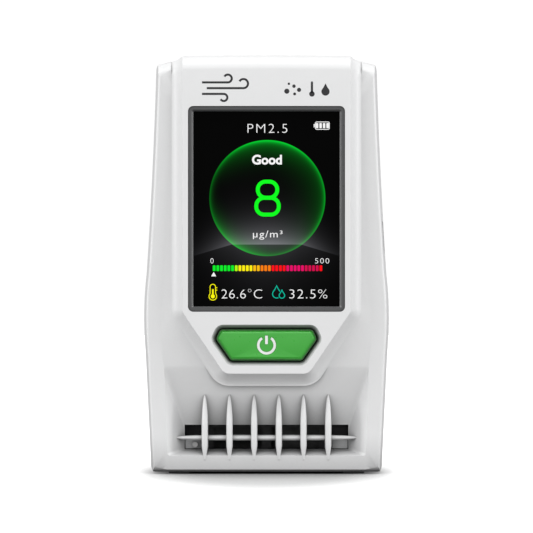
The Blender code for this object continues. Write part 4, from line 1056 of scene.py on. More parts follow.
@dataclass
class FrontCover:
    """The white front shell with its band, scoop, fins and cross bar."""

    shape: CaseShape
    scoop_top_z: float = 34.4
    scoop_bottom_z: float = 5.2
    scoop_top_half: float = 30.8
    scoop_bottom_half: float = 29.8
    scoop_depth: float = 5.5
    scoop_corner: float = 0.9
    ramp_ease: float = 1.15
    ramp_steps: int = 16
    slot_top_z: float = 14.4
    slot_bottom_z: float = 7.1
    fin_count: int = 6
    fin_pitch: float = 7.3
    fin_tip_z: float = 23.4
    fin_foot_z: float = 5.6
    fin_half: float = 0.95
    fin_foot_half: float = 0.55
    fin_proud: float = 0.3
    bar_z: float = 10.6
    bar_half_h: float = 0.85
    bar_half_l: float = 27.5
    bar_sink: float = 2.0
    bar_depth: float = 2.6
    fillet: float = 0.16
    fit: float = 0.25
    lead_in: float = 0.05
    screw_r: float = 1.25
    foot_y: float = -8.0

    def ramp_depth(self, z: float) -> float:
        """Depth of the scoop's ramp below the wing at a height."""
        share = (self.scoop_top_z - z) / (self.scoop_top_z - self.slot_top_z)
        return self.scoop_depth * min(max(share, 0.0), 1.0) ** self.ramp_ease

    def scoop_ring(self, depth: float, out: float) -> Outline:
        """The scoop's outline at a depth below the wing.

        Args:
            depth: Depth below the wing.
            out: How far out.

        Returns:
            The outline.
        """
        share = min(max(depth / self.scoop_depth, 0.0), 1.0) ** (1.0 / self.ramp_ease)
        top = self.scoop_top_z - (self.scoop_top_z - self.slot_top_z) * share - 2.0 * min(depth, 0.0)
        bottom = self.scoop_bottom_z + (self.slot_bottom_z - self.scoop_bottom_z) * depth / self.scoop_depth
        slant = (self.scoop_top_half - self.scoop_bottom_half) / (self.scoop_top_z - self.scoop_bottom_z)
        top_half = self.scoop_top_half - slant * (self.scoop_top_z - top) - depth
        low_half = self.scoop_bottom_half - depth
        corners = [(-low_half, bottom), (low_half, bottom), (top_half, top), (-top_half, top)]
        return rounded(offset(corners, out), self.scoop_corner + out, 6)

    def scoop_solid(self, out: float, sink: float, lead: float) -> bpy.types.Object:
        """The scoop's hollow, or with out and sink its outer wall.

        Args:
            out: How far the outline is moved out.
            sink: How far the floor is moved back.
            lead: How far in front of the wing it starts.

        Returns:
            The solid, clear of the band's foot.
        """
        layers = [(self.shape.wing_y - lead, self.scoop_ring(-lead, out))]
        for step in range(self.ramp_steps + 1):
            depth = self.scoop_depth * step / self.ramp_steps
            layers.append((self.shape.wing_y + depth + sink, self.scoop_ring(depth, out)))
        foot = prism("foot", self.shape.band_outline(self.shape.cove_foot - out),
                     self.shape.face_y - self.shape.outside, self.shape.parting_y)
        return combine(loft_y("scoop", layers), Combine.CUT, foot)

    def fin(self, x: float) -> bpy.types.Object:
        """One upright blade, pointed at its top.

        Args:
            x: Millimetres to the right.

        Returns:
            The blade.
        """
        rings = []
        foot = self.scoop_bottom_z - self.shape.wall / 2
        for step in range(29):
            z = foot + (self.fin_tip_z - foot) * step / 28
            climb = max((z - self.slot_top_z) / (self.fin_tip_z - self.slot_top_z), 0.0)
            taper = math.sqrt(max(1.0 - climb ** 1.7, 0.004))
            low = (z - self.fin_foot_z) / (self.slot_bottom_z + 1.0 - self.fin_foot_z)
            wide = self.fin_foot_half + (self.fin_half - self.fin_foot_half) * min(max(low, 0.0), 1.0)
            half = wide * taper
            floor = self.shape.wing_y + self.ramp_depth(z)
            front = floor - (floor - self.shape.wing_y - self.fin_proud) * taper
            back = floor + self.shape.wall / 2
            nose = arc((x, front + half), half, 180.0, 360.0, 12)
            rings.append([(px, py, z) for px, py in [(x - half, back)] + nose + [(x + half, back)]])
        return loft("fin", rings)

    def cross_bar(self) -> bpy.types.Object:
        """The lens-shaped bar that runs behind the fins' front edges.

        Returns:
            The bar.
        """
        rings = []
        for step in range(-20, 21):
            share = step / 20
            taper = math.sqrt(1.0 - 0.995 * abs(share) ** 5)
            front = self.shape.wing_y + self.bar_sink + 0.8 * (1 - taper)
            middle = front + self.bar_depth / 2
            x = self.bar_half_l * share
            deep, tall = self.bar_depth / 2 * taper, self.bar_half_h * taper
            rings.append([(x, middle + deep * a, self.bar_z + tall * b)
                          for a, b in circle((0.0, 0.0), 1.0, 24)])
        return loft("bar", rings)

    def outer(self) -> bpy.types.Object:
        """The cover's outside, still solid.

        Returns:
            The solid.
        """
        shape = self.shape
        low, high = -shape.outside, shape.height + shape.outside
        layers = [(shape.parting_y, shape.silhouette(0.0, low, high))]
        middle = (shape.rim_round, shape.wing_y + shape.rim_round)
        for inset, y in arc(middle, shape.rim_round, 180.0, 270.0, 8):
            layers.append((y, shape.silhouette(shape.rim_draft + inset, low, high)))
        inset = shape.rim_draft + shape.rim_round + shape.dish_run
        layers.append((shape.wing_y + shape.dish,
                       shape.silhouette(inset, low + shape.dish_run, high - shape.dish_run)))
        cover = loft_y("front_shell", layers)
        pad = [(shape.wing_y + 2 * shape.outside, shape.band_outline(shape.cove_foot))]
        for step in range(shape.steps + 1):
            reach = shape.cove_run * (1 - step / shape.steps)
            pad.append((shape.face_y + shape.cove(reach), shape.band_outline(reach)))
        combine(cover, Combine.JOIN, loft_y("pad", pad))
        return combine(cover, Combine.KEEP, shape.profile_solid())

    def hollow(self, button: PowerButton, screen: Screen) -> bpy.types.Object:
        """The inside of the cover, with posts, the button's rim and the scoop's wall left standing.

        Args:
            button: The button whose rim stays.
            screen: The screen whose flange the hollow clears.

        Returns:
            The hollow.
        """
        shape = self.shape
        low = shape.base_z + shape.wall
        high = shape.height - shape.wing_drop - shape.wall - 1.6
        inner = shape.wing_y + shape.dish + shape.wall
        inset = shape.rim_draft + shape.wall
        hollow = loft_y("hollow", [
            (inner, shape.silhouette(inset + 1.2, low + 0.8, high - 2.0)),
            (inner + 1.0, shape.silhouette(inset, low, high - 0.6)),
            (shape.parting_y + shape.outside, shape.silhouette(shape.wall, low, high)),
        ])
        pocket = loft_y("pocket", [
            (shape.face_y + shape.wall, shape.band_outline(screen.bezel_half[0] + 1.2 - shape.band_half)),
            (inner + 0.5, shape.band_outline(shape.cove_run - shape.wall)),
            (inner + shape.wall, shape.band_outline(shape.cove_run - shape.wall)),
        ])
        limit = shape.band_half + shape.outside
        combine(pocket, Combine.KEEP, prism("limit", rectangle(-limit, limit, shape.funnel_z, high - 0.4),
                                            shape.face_y - shape.outside, shape.parting_y))
        combine(hollow, Combine.JOIN, pocket)
        for x, z in shape.screw_places():
            combine(hollow, Combine.CUT, rod_y("post", x, z, 3.0, shape.wing_y, shape.parting_y + 10.0))
        for x, z in shape.board_screw_places():
            combine(hollow, Combine.CUT, rod_y("post", x, z, 2.1, shape.wing_y, -7.9))
        combine(hollow, Combine.CUT, button.rim(shape))
        return combine(hollow, Combine.CUT, self.scoop_solid(shape.wall, shape.wall, shape.outside))

    def build(self, button: PowerButton, screen: Screen) -> bpy.types.Object:
        """Make the whole cover.

        Args:
            button: The button whose opening it has.
            screen: The screen whose opening it has.

        Returns:
            The cover.
        """
        shape = self.shape
        scoop = self.scoop_solid(0.0, 0.0, 1.2)
        cover = combine(self.outer(), Combine.CUT, self.hollow(button, screen), scoop)
        half = self.scoop_bottom_half - self.scoop_depth
        ramp_y = shape.wing_y + self.scoop_depth
        slot = rectangle(-half, half, self.slot_bottom_z + 0.02, self.slot_top_z - 0.02)
        combine(cover, Combine.CUT, prism("slot", slot, ramp_y - 0.5, ramp_y + shape.outside))
        middle = (self.fin_count - 1) / 2
        for index in range(self.fin_count):
            combine(cover, Combine.JOIN, self.fin((index - middle) * self.fin_pitch))
        combine(cover, Combine.JOIN, self.cross_bar())
        combine(cover, Combine.CUT, screen.opening(shape, self.fit), button.recess(shape))
        for x, z in shape.screw_places():
            pilot = rod_y("pilot", x, z, self.screw_r, shape.parting_y - 7.3, shape.parting_y + 5.0)
            combine(cover, Combine.CUT, pilot)
        for x, z in shape.board_screw_places():
            combine(cover, Combine.CUT, rod_y("pilot", x, z, 1.05, -10.4, -2.6))
        combine(cover, Combine.CUT, self.port_hole())
        for pocket in shape.foot_pockets(self.foot_y):
            combine(cover, Combine.CUT, pocket)
        return smooth(cover, fillet=self.fillet)

    def port_hole(self) -> bpy.types.Object:
        """The opening in the right side for the charging port.

        Returns:
            The solid to cut with.
        """
        low, high = (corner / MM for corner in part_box("charging_port"))
        sides = rectangle(low.y - self.fit, high.y + self.fit, low.z - self.fit, high.z + self.fit)
        mouth = rounded(sides, 0.8)
        return loft("port_hole", [[(x, y, z) for y, z in mouth] for x in (low.x + 4.0, high.x + 6.0)])

    def dress(self, cover: bpy.types.Object, finishes: Finishes, button: PowerButton) -> None:
        """Give the cover its plastic, with painted shade in the button's recess, and its place on the frame.

        Args:
            cover: The cover.
            finishes: The materials.
            button: The button whose recess gets the painted shade.
        """
        dress(cover, finishes.case)
        face, foot = self.shape.face_y, self.shape.face_y + button.recess_wall
        # The recess's faces take a second material that paints shade into them.
        cover.data.materials.append(RecessShade("recess_painted_shade", face, foot).make())
        for polygon in cover.data.polygons:
            x, y, z = polygon.center / MM
            if face + self.lead_in < y < foot + 0.1 and button.surrounds(x, z):
                polygon.material_index = 1
        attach(cover, "case")
        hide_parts("front_cover")


@dataclass
class RearCover:
    """The white back shell with its screw wells, fan slots, inner lip and foot pockets."""

    shape: CaseShape
    lip_t: float = 1.0
    lip_inset: float = 0.75
    lip_reach: float = 1.5
    post_r: float = 3.9
    well_r: float = 2.75
    seat_y: float = 12.9
    vent_count: int = 6
    vent_pitch: float = 3.6
    vent_w: float = 1.6
    vent_x: float = -8.5
    vent_low_z: float = 15.6
    vent_high_z: float = 28.0
    fillet: float = 0.2
    screw_r: float = 1.25
    foot_y: float = 9.0

    def lip(self, floor: float, top: float) -> bpy.types.Object:
        """The ring that reaches inside the front cover and closes the seam.

        Args:
            floor: Height of the hollow's floor.
            top: Height of the hollow's top.

        Returns:
            The ring, flared at its back to meet the cover's wall.
        """
        shape = self.shape
        front = shape.parting_y + shape.gap
        inset = shape.wall + self.lip_inset
        outer = shape.silhouette(inset, floor + shape.gap, top - self.lip_inset)
        root = shape.silhouette(shape.wall / 2, floor - shape.wall / 2, top + shape.wall / 2)
        lip = loft_y("lip", [
            (shape.parting_y - self.lip_reach, outer),
            (front + self.lip_t / 4, outer),
            (front + self.lip_t, root),
            (front + 2 * self.lip_t, root),
        ])
        inner = shape.silhouette(inset + self.lip_t, floor + shape.gap + self.lip_t,
                                 top - self.lip_inset - self.lip_t)
        combine(lip, Combine.CUT, prism("inside", inner, shape.parting_y - 5.0, front + 5.0))
        for x, z in shape.screw_places():
            combine(lip, Combine.CUT, rod_y("post", x, z, 3.3, shape.parting_y - 5.0, front))
        return lip

    def build(self) -> bpy.types.Object:
        """Make the whole cover.

        Returns:
            The piece.
        """
        shape = self.shape
        front = shape.parting_y + shape.gap
        low, high = -shape.outside, shape.height + shape.outside
        layers = [(front, shape.silhouette(0.0, low, high))]
        middle = (shape.back_draft + shape.back_round, shape.back_y - shape.back_round)
        for inset, y in arc(middle, shape.back_round, 180.0, 90.0, shape.steps):
            layers.append((y + 0.01, shape.silhouette(inset, low, high)))
        cover = combine(loft_y("rear_shell", layers), Combine.KEEP, shape.profile_solid())
        top = shape.height - shape.wing_drop - shape.wall - 1.6
        floor = shape.base_z + shape.wall
        inset = shape.wall + shape.back_draft
        hollow = loft_y("hollow", [
            (front - shape.outside, shape.silhouette(shape.wall, floor, top)),
            (shape.back_y - shape.back_round, shape.silhouette(inset, floor, top - 0.8)),
            (shape.back_y - shape.wall, shape.silhouette(inset + 2.0, floor + 0.6, top - 2.8)),
        ])
        for x, z in shape.screw_places():
            combine(hollow, Combine.CUT, rod_y("post", x, z, self.post_r, front - 10.0, shape.back_y + 5.0))
        combine(cover, Combine.CUT, hollow)
        combine(cover, Combine.JOIN, self.lip(floor, top))
        for x, z in shape.screw_places():
            combine(cover, Combine.CUT, rod_y("well", x, z, self.well_r, self.seat_y, shape.back_y + 5.0),
                    rod_y("through", x, z, self.screw_r, front - 5.0, shape.back_y))
        for index in range(self.vent_count):
            x = self.vent_x + (index - (self.vent_count - 1) / 2) * self.vent_pitch
            half = self.vent_w / 2
            slot = rounded(rectangle(x - half, x + half, self.vent_low_z, self.vent_high_z), half - 0.02)
            combine(cover, Combine.CUT, prism("vent", slot, shape.back_y - 4.0, shape.back_y + 5.0))
        for pocket in shape.foot_pockets(self.foot_y):
            combine(cover, Combine.CUT, pocket)
        return smooth(cover, fillet=self.fillet)

    def dress(self, cover: bpy.types.Object, finishes: Finishes) -> None:
        """Give the cover its plastic and its place on the frame.

        Args:
            cover: The cover.
            finishes: The materials.
        """
        dress(cover, finishes.case)
        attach(cover, "case")
        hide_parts("rear_cover")


# ---- the power button ----------------------------------------------------------------------------
@dataclass
class PowerButton:
    """The six-sided green button and its white mark."""

    top_z: float = 42.3
    side_z: float = 39.9
    bottom_z: float = 33.9
    top_half: float = 13.4
    side_half: float = 14.5
    bottom_half: float = 10.3
    sink: float = 0.55
    chamfer: float = 0.7
    corner: float = 1.0
    fit: float = 0.4
    recess_out: float = 1.6
    recess_depth: float = 2.8
    recess_wall: float = 3.1
    recess_rim: float = 1.0
    flange_out: float = 0.9
    flange_t: float = 0.8
    mark_z: float = 38.1
    mark_fit: float = 0.08

    def outline(self, out: float) -> Outline:
        """The button's six sides, moved out.

        Args:
            out: How far out.

        Returns:
            The outline.
        """
        right = [(self.bottom_half, self.bottom_z), (self.side_half, self.side_z),
                 (self.top_half, self.top_z)]
        return rounded(offset(mirrored(right), out), max(self.corner + out, 0.2))

    def recess(self, shape: CaseShape) -> bpy.types.Object:
        """The sloping opening in the front cover.

        Args:
            shape: The case's shape.

        Returns:
            The solid to cut with.
        """
        return loft_y("recess", [
            (shape.face_y - 0.5, self.outline(self.recess_out + 0.5)),
            (shape.face_y + self.recess_depth, self.outline(self.fit)),
            (shape.face_y + self.recess_wall + 2.0, self.outline(self.fit)),
        ])

    def surrounds(self, x: float, z: float) -> bool:
        """Whether a place lies inside the recess's outline.

        Args:
            x: Millimetres to the right.
            z: Height in millimetres.

        Returns:
            True if it does.
        """
        outline = self.outline(self.recess_out + 0.1)
        sides = zip(outline, outline[1:] + outline[:1])
        return all((bx - ax) * (z - az) - (bz - az) * (x - ax) >= 0.0 for (ax, az), (bx, bz) in sides)

    def rim(self, shape: CaseShape) -> bpy.types.Object:
        """The part of the front cover that stays thick round the recess."""
        outline = self.outline(self.recess_out + self.recess_rim)
        return prism("rim", outline, shape.face_y, shape.face_y + self.recess_wall)

    def build(self, shape: CaseShape) -> bpy.types.Object:
        """Make the button with a crowned face and an engraved seat for its mark.

        Args:
            shape: The case's shape.

        Returns:
            The piece.
        """
        front = shape.face_y + self.sink
        flange = shape.face_y + self.recess_wall + shape.gap
        layers = []
        for share in (0.0, 0.2, 0.45, 0.75, 1.0):
            inset = self.chamfer * (1 - share)
            layers.append((front + self.chamfer * 0.7 * share ** 1.6, self.outline(-inset)))
        layers.append((flange + 0.1, self.outline(0.0)))
        button = loft_y("button_cap", layers)
        collar = prism("collar", self.outline(self.flange_out), flange, flange + self.flange_t)
        stem = rod_y("stem", 0.0, self.mark_z, 2.2, flange + 0.1, flange + self.flange_t + 0.5)
        combine(button, Combine.JOIN, collar, stem)
        for node in ("mark_ring", "mark_bar"):
            combine(button, Combine.CUT, self.seat(node))
        return smooth(button, fillet=0.07)

    def seat(self, node: str) -> bpy.types.Object:
        """The groove that one piece of the mark lies in, grown from that piece.

        Args:
            node: Name of the node.

        Returns:
            The solid to cut with.
        """
        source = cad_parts[node]
        groove = bpy.data.objects.new("groove", source.data.copy())
        bpy.context.scene.collection.objects.link(groove)
        builder = bmesh.new()
        builder.from_mesh(groove.data)
        bmesh.ops.remove_doubles(builder, verts=builder.verts, dist=1e-6)
        builder.normal_update()
        moves = [(vertex, vertex.normal.copy()) for vertex in builder.verts]
        for vertex, normal in moves:
            vertex.co += normal * self.mark_fit * 1.4 * MM
        builder.to_mesh(groove.data)
        builder.free()
        return groove

    def dress(self, button: bpy.types.Object, finishes: Finishes) -> None:
        """Colour the button and its mark.

        Args:
            button: The button.
            finishes: The materials.
        """
        dress(button, finishes.button)
        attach(button, "button")
        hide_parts("power_button")
        for node in ("mark_ring", "mark_bar"):
            dress(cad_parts[node], finishes.mark)


# ---- the screen ----------------------------------------------------------------------------------
@dataclass
class Screen:
    """The bezel's finish, the lit backdrop and everything drawn on it."""

    middle: Point = (0.0, 78.3)
    bezel_half: Point = (22.9, 30.1)
    bezel_corner: float = 1.3
    mark_t: float = 0.03
    white: Colour = (0.95, 0.95, 0.95)
    figure: Colour = (0.0, 1.0, 0.01)
    yellow: Colour = (1.0, 0.95, 0.0)
    teal: Colour = (0.0, 0.50, 0.34)
    bar_left: float = -16.0
    bar_right: float = 16.6
    bar_low: float = 59.95
    bar_high: float = 61.65
    bar_count: int = 30
    bar_fill: float = 0.76
    made: list[bpy.types.Object] = field(default_factory=list)

    def opening(self, shape: CaseShape, fit: float) -> bpy.types.Object:
        """The opening in the front cover.

        Args:
            shape: The case's shape.
            fit: The clearance round it.

        Returns:
            The solid to cut with.
        """
        outline = rounded_box(self.bezel_half[0] + fit, self.bezel_half[1] + fit, self.middle,
                              self.bezel_corner + fit)
        return prism("opening", outline, shape.face_y - 5.0, shape.face_y + shape.wall + 2.0)

    def front(self) -> float:
        """The y of the window's front, in millimetres."""
        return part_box("display_window")[0].y / MM

    def shine(self, item: bpy.types.Object, finish: Lit | ScaleBar) -> bpy.types.Object:
        """Light one piece of the picture and fix it to the case.

        Args:
            item: The piece.
            finish: Its light.

        Returns:
            The same piece.
        """
        smooth(item)
        dress(item, finish.make())
        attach(item, "case")
        self.made.append(item)
        return item

    def flat(self, name: str, outlines: list[Outline], colour: Colour) -> bpy.types.Object:
        """Light some thin flat shapes on the window."""
        item = prisms(name, outlines, self.front() - self.mark_t, self.front() + self.mark_t)
        return self.shine(item, Lit(f"{name}_light", colour))

    def words(self, name: str, body: str, place: Point, height: float, colour: Colour,
              align: Align = Align.CENTRE, bold: float = 0.0, stretch: float = 1.0,
              spread: float = 1.0) -> bpy.types.Object:
        """Draw a line of plain characters.

        Args:
            name: Name of the piece.
            body: The characters.
            place: Where the line starts, ends or has its middle, on its foot line.
            height: Height of a capital.
            colour: Its light.
            align: Which side place is on.
            bold: How far each stroke is thickened.
            stretch: How wide the characters are against their own shape.
            spread: How far apart they stand against their own spacing.

        Returns:
            The piece.
        """
        curve = bpy.data.curves.new(name, "FONT")
        curve.body = body
        curve.align_x = align.value
        curve.size = height / 0.72
        curve.offset = bold
        curve.space_character = spread
        curve.resolution_u = 6
        curve.extrude = self.mark_t
        source = bpy.data.objects.new(name, curve)
        bpy.context.scene.collection.objects.link(source)
        bpy.context.view_layer.update()
        graph = bpy.context.evaluated_depsgraph_get()
        mesh = bpy.data.meshes.new_from_object(source.evaluated_get(graph))
        bpy.data.objects.remove(source)
        for vertex in mesh.vertices:
            x, z, y = vertex.co
            spot = Vector((place[0] + x * stretch, self.front() - y, place[1] + z))
            vertex.co = spot * MM
        item = bpy.data.objects.new(name, mesh)
        bpy.context.scene.collection.objects.link(item)
        return self.shine(item, Lit(f"{name}_light", colour))

    def figure_eight(self) -> bpy.types.Object:
        """The large reading: two round-cornered rings, the lower one wider.

        Returns:
            The piece.
        """
        upper = self.ring_strip((0.3, 84.0), (3.45, 2.95), 2.9, 1.15)
        lower = self.ring_strip((0.3, 79.1), (3.9, 3.05), 2.9, 1.15)
        return self.shine(combine(upper, Combine.JOIN, lower), Lit("reading_light", self.figure))

    def ring_strip(self, middle: Point, half: Point, corner: float, stroke: float) -> bpy.types.Object:
        """A flat ring with round corners.

        Args:
            middle: Its centre.
            half: Half its width and height outside.
            corner: Outer corner radius.
            stroke: Width of the ring.

        Returns:
            The ring.
        """
        y0, y1 = self.front() - self.mark_t, self.front() + self.mark_t
        ring = prism("reading", rounded_box(half[0], half[1], middle, corner, 10), y0, y1)
        hole = rounded_box(half[0] - stroke, half[1] - stroke, middle, corner - stroke, 10)
        return combine(ring, Combine.CUT, prism("hole", hole, y0 - 1.0, y1 + 1.0))

    def battery_sign(self) -> None:
        """The small charge sign at the upper right."""
        body = self.ring_strip((16.5, 102.9), (2.15, 1.2), 0.5, 0.22)
        self.shine(body, Lit("charge_outline_light", self.white))
        body.name = "charge_outline"
        cells = [rounded_box(0.36, 0.75, (14.95 + 1.03 * index, 102.9), 0.2, 4) for index in range(4)]
        knob = rectangle(13.95, 14.25, 102.4, 103.4)
        self.flat("charge_cells", cells + [knob], self.white)

    def scale(self) -> None:
        """The scale of coloured blocks with its pointer."""
        pitch = (self.bar_right - self.bar_left) / self.bar_count
        half, tall = pitch * self.bar_fill / 2, (self.bar_high - self.bar_low) / 2
        middle_z = (self.bar_low + self.bar_high) / 2
        blocks = []
        for index in range(self.bar_count):
            x = self.bar_left + pitch * (index + 0.5)
            blocks.append(rounded_box(half, tall, (x, middle_z), 0.22, 4))
        item = prisms("scale_blocks", blocks, self.front() - self.mark_t, self.front() + self.mark_t)
        self.shine(item, ScaleBar("scale_light", self.bar_left, self.bar_right))
        self.flat("scale_pointer", [[(-16.35, 58.4), (-14.85, 58.4), (-15.6, 59.7)]], self.white)

    def climate_signs(self) -> None:
        """The thermometer and the two drops."""
        stem = rounded_box(0.5, 1.45, (-15.85, 54.3), 0.49, 6)
        bulb = circle((-15.85, 52.5), 0.95, 28)
        y0, y1 = self.front() - self.mark_t, self.front() + self.mark_t
        glass = combine(prism("thermometer", offset(stem, 0.42), y0, y1), Combine.JOIN,
                        prism("bulb", circle((-15.85, 52.5), 1.25, 28), y0, y1))
        inner = combine(prism("inner", offset(stem, 0.18), y0 - 1, y1 + 1), Combine.JOIN,
                        prism("bulb", circle((-15.85, 52.5), 1.0, 28), y0 - 1, y1 + 1))
        combine(glass, Combine.CUT, inner)
        self.shine(glass, Lit("thermometer_light", self.yellow))
        column = [rectangle(-16.1, -15.6, 52.5, 54.6), circle((-15.85, 52.5), 0.62, 20)]
        first = prism("thermometer_column", column[0], y0, y1)
        combine(first, Combine.JOIN, prism("bulb", column[1], y0 - 0.001, y1 + 0.001))
        self.shine(first, Lit("column_light", self.yellow))
        ticks = [rectangle(-14.95, -14.55, z, z + 0.25) for z in (54.2, 54.9)]
        self.flat("thermometer_ticks", ticks, self.yellow)
        large, small = self.drop((3.0, 53.2), 1.35), self.drop((4.55, 52.75), 0.95)
        combine(large, Combine.CUT, self.drop_solid((4.55, 52.75), 1.2, 1.0))
        self.shine(combine(large, Combine.JOIN, small), Lit("drops_light", self.teal))

    def drop_solid(self, middle: Point, radius: float, over: float) -> bpy.types.Object:
        """A flat drop: round below and pointed above.

        Args:
            middle: Its centre.
            radius: Its radius.
            over: How much thicker than the marks it is.

        Returns:
            The drop.
        """
        depth = self.mark_t + over
        outline = drop_outline(middle, radius, 24)
        return prism("drops", outline, self.front() - depth, self.front() + depth)

    def drop(self, middle: Point, radius: float) -> bpy.types.Object:
        """The outline of a drop."""
        return combine(self.drop_solid(middle, radius, 0.0), Combine.CUT,
                       self.drop_solid(middle, radius - 0.28, 1.0))

    def backdrop(self) -> bpy.types.Object:
        """The window with its lit picture.

        Returns:
            The piece.
        """
        low, high = (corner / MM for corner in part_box("display_window"))
        half = ((high.x - low.x) / 2, (high.z - low.z) / 2)
        middle = ((high.x + low.x) / 2, (high.z + low.z) / 2)
        pane = loft_y("lit_window", [
            (low.y, rounded_box(half[0] - 0.1, half[1] - 0.1, middle, 0.4)),
            (low.y + 0.1, rounded_box(half[0], half[1], middle, 0.5)),
            (high.y, rounded_box(half[0], half[1], middle, 0.5)),
        ])
        smooth(pane)
        dress(pane, RoomPicture().make())
        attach(pane, "case")
        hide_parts("display_window")
        return pane

    def build(self) -> None:
        """Make the backdrop and everything drawn on it."""
        self.backdrop()
        white = self.white
        self.words("quantity", "PM2.5", (0.25, 100.75), 2.85, white, bold=-0.07, stretch=1.08, spread=1.2)
        self.words("verdict", "Good", (0.15, 91.55), 2.75, white, bold=0.13)
        self.figure_eight()
        self.words("reading_unit", "µg/m³", (0.3, 69.9), 2.1, white, stretch=1.2, spread=1.14)
        self.words("scale_start", "0", (-16.1, 62.2), 1.65, white, bold=-0.03)
        self.words("scale_end", "500", (16.4, 62.2), 1.65, white, bold=-0.03, stretch=1.15, spread=1.2)
        self.battery_sign()
        self.scale()
        self.climate_signs()
        self.words("temperature", "26.6°C", (-13.5, 51.85), 2.85, white, Align.LEFT, -0.06, 1.07, 1.05)
        self.words("humidity", "32.5%", (6.4, 51.85), 2.85, white, Align.LEFT, -0.06, 1.14, 1.1)

    def dress(self, finishes: Finishes) -> None:
        """Dress the bezel and the parts behind the window.

        Args:
            finishes: The materials.
        """
        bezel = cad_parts["display_bezel"]
        smooth(bezel, fillet=0.12)
        dress(bezel, finishes.bezel)
        dress(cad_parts["display_window"], finishes.panel)
        dress(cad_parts["lcd_panel"], finishes.panel)
        dress(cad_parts["display_gasket"], finishes.foam)
        dress(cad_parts["lcd_backlight"], finishes.white)
        dress(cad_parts["lcd_ribbon"], finishes.ribbon)
        dress(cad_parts["ribbon_socket"], finishes.black)


# ---- printed signs on the band -------------------------------------------------------------------
@dataclass
class PrintedSigns:
    """Plain pictograms in black ink above the screen: moving air, dust, heat and damp."""

    shape: CaseShape
    ink_t: float = 0.02
    stroke: float = 0.62

    def stroke_line(self, points: Outline, width: float) -> Outline:
        """A closed outline round a line of points.

        Args:
            points: The middle of the line.
            width: Its width.

        Returns:
            The outline, anticlockwise or clockwise.
        """
        left, right = [], []
        for index, (x, z) in enumerate(points):
            ax, az = points[max(index - 1, 0)]
            bx, bz = points[min(index + 1, len(points) - 1)]
            length = math.hypot(bx - ax, bz - az)
            nx, nz = -(bz - az) / length * width / 2, (bx - ax) / length * width / 2
            left.append((x + nx, z + nz))
            right.append((x - nx, z - nz))
        return left + right[::-1]

    def gust(self, left: float, z: float, length: float, curl: float, side: int) -> Outline:
        """One line of moving air that curls at its end.

        Args:
            left: Where it starts.
            z: Height in millimetres.
            length: Length of its straight part.
            curl: Radius of its curl.
            side: 1 to curl up or -1 to curl down.

        Returns:
            The outline.
        """
        line = [(left, z), (left + length * 0.5, z)]
        centre = (left + length, z + side * curl)
        turn = arc(centre, curl, -90.0 * side, 150.0 * side, 14)
        return self.stroke_line(line + turn, self.stroke)

    def build(self, finishes: Finishes) -> bpy.types.Object:
        """Make the signs as thin ink on the band's face.

        Args:
            finishes: The materials.

        Returns:
            The piece.
        """
        outlines = [self.gust(-19.0, 115.6, 7.6, 1.15, 1), self.gust(-17.6, 113.9, 10.8, 1.35, 1),
                    self.gust(-19.0, 112.2, 6.4, 1.05, -1)]
        dots = [(6.0, 113.0, 0.75), (8.1, 114.5, 0.5), (8.3, 112.2, 0.42), (6.6, 115.2, 0.35),
                (9.6, 113.4, 0.6)]
        outlines += [circle((x, z), radius, 20) for x, z, radius in dots]
        outlines.append(rounded_box(0.32, 1.7, (13.4, 114.2), 0.31, 6))
        outlines.append(circle((13.4, 112.2), 0.8, 22))
        outlines.append(drop_outline((17.4, 112.9), 1.2, 20))
        front = self.shape.face_y
        signs = prisms("printed_signs", outlines, front - self.ink_t, front + self.ink_t)
        smooth(signs)
        dress(signs, finishes.print_black)
        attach(signs, "case")
        return signs


# ---- parts that keep the frame's shape -----------------------------------------------------------
@dataclass
class InnerParts:
    """Everything inside the case, the feet and the fixings."""

    fillet: float = 0.12

    def groups(self, finishes: Finishes) -> dict[str, tuple[bpy.types.Material, list[str]]]:
        """Which nodes take which finish.

        Args:
            finishes: The materials.

        Returns:
            The finishes and their nodes.
        """
        screws = [f"{kind}_screw_{number}" for kind in ("case", "board") for number in range(1, 5)]
        return {
            "boards": (finishes.board, ["main_board", "climate_board"]),
            "sensor_board": (finishes.dark_board, ["sensor_board"]),
            "chips": (finishes.black, ["processor", "memory_chip", "power_chip", "charger_chip", "buzzer",
                                       "switch_body", "switch_plunger", "sensor_case", "sensor_lid",
                                       "fan_frame", "fan_rotor", "light_detector", "sensor_socket",
                                       "sensor_harness", "battery_lead"]),
            "sockets": (finishes.white, ["battery_socket", "climate_sensor"]),
            "intake": (finishes.grey, ["intake_frame"]),
            "intake_fixing": (finishes.dark_steel, ["intake_screw"]),
            "foams": (finishes.foam, ["intake_gasket", "battery_pad"]),
            "feet": (finishes.rubber, [f"foot_{number}" for number in range(1, 5)]),
            "metal": (finishes.steel, screws + ["charging_port"]),
            "battery": (finishes.cell, ["battery"]),
            "laser": (finishes.brass, ["laser_module"]),
        }

    def dress(self, finishes: Finishes) -> int:
        """Dress every node and count them.

        Args:
            finishes: The materials.

        Returns:
            How many there are.
        """
        count = 0
        for material, names in self.groups(finishes).values():
            for name in names:
                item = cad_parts[name]
                smooth(item, 35.0, self.fillet if name.startswith(("foot", "intake_s", "case")) else 0.0)
                dress(item, material)
                count += 1
        return count


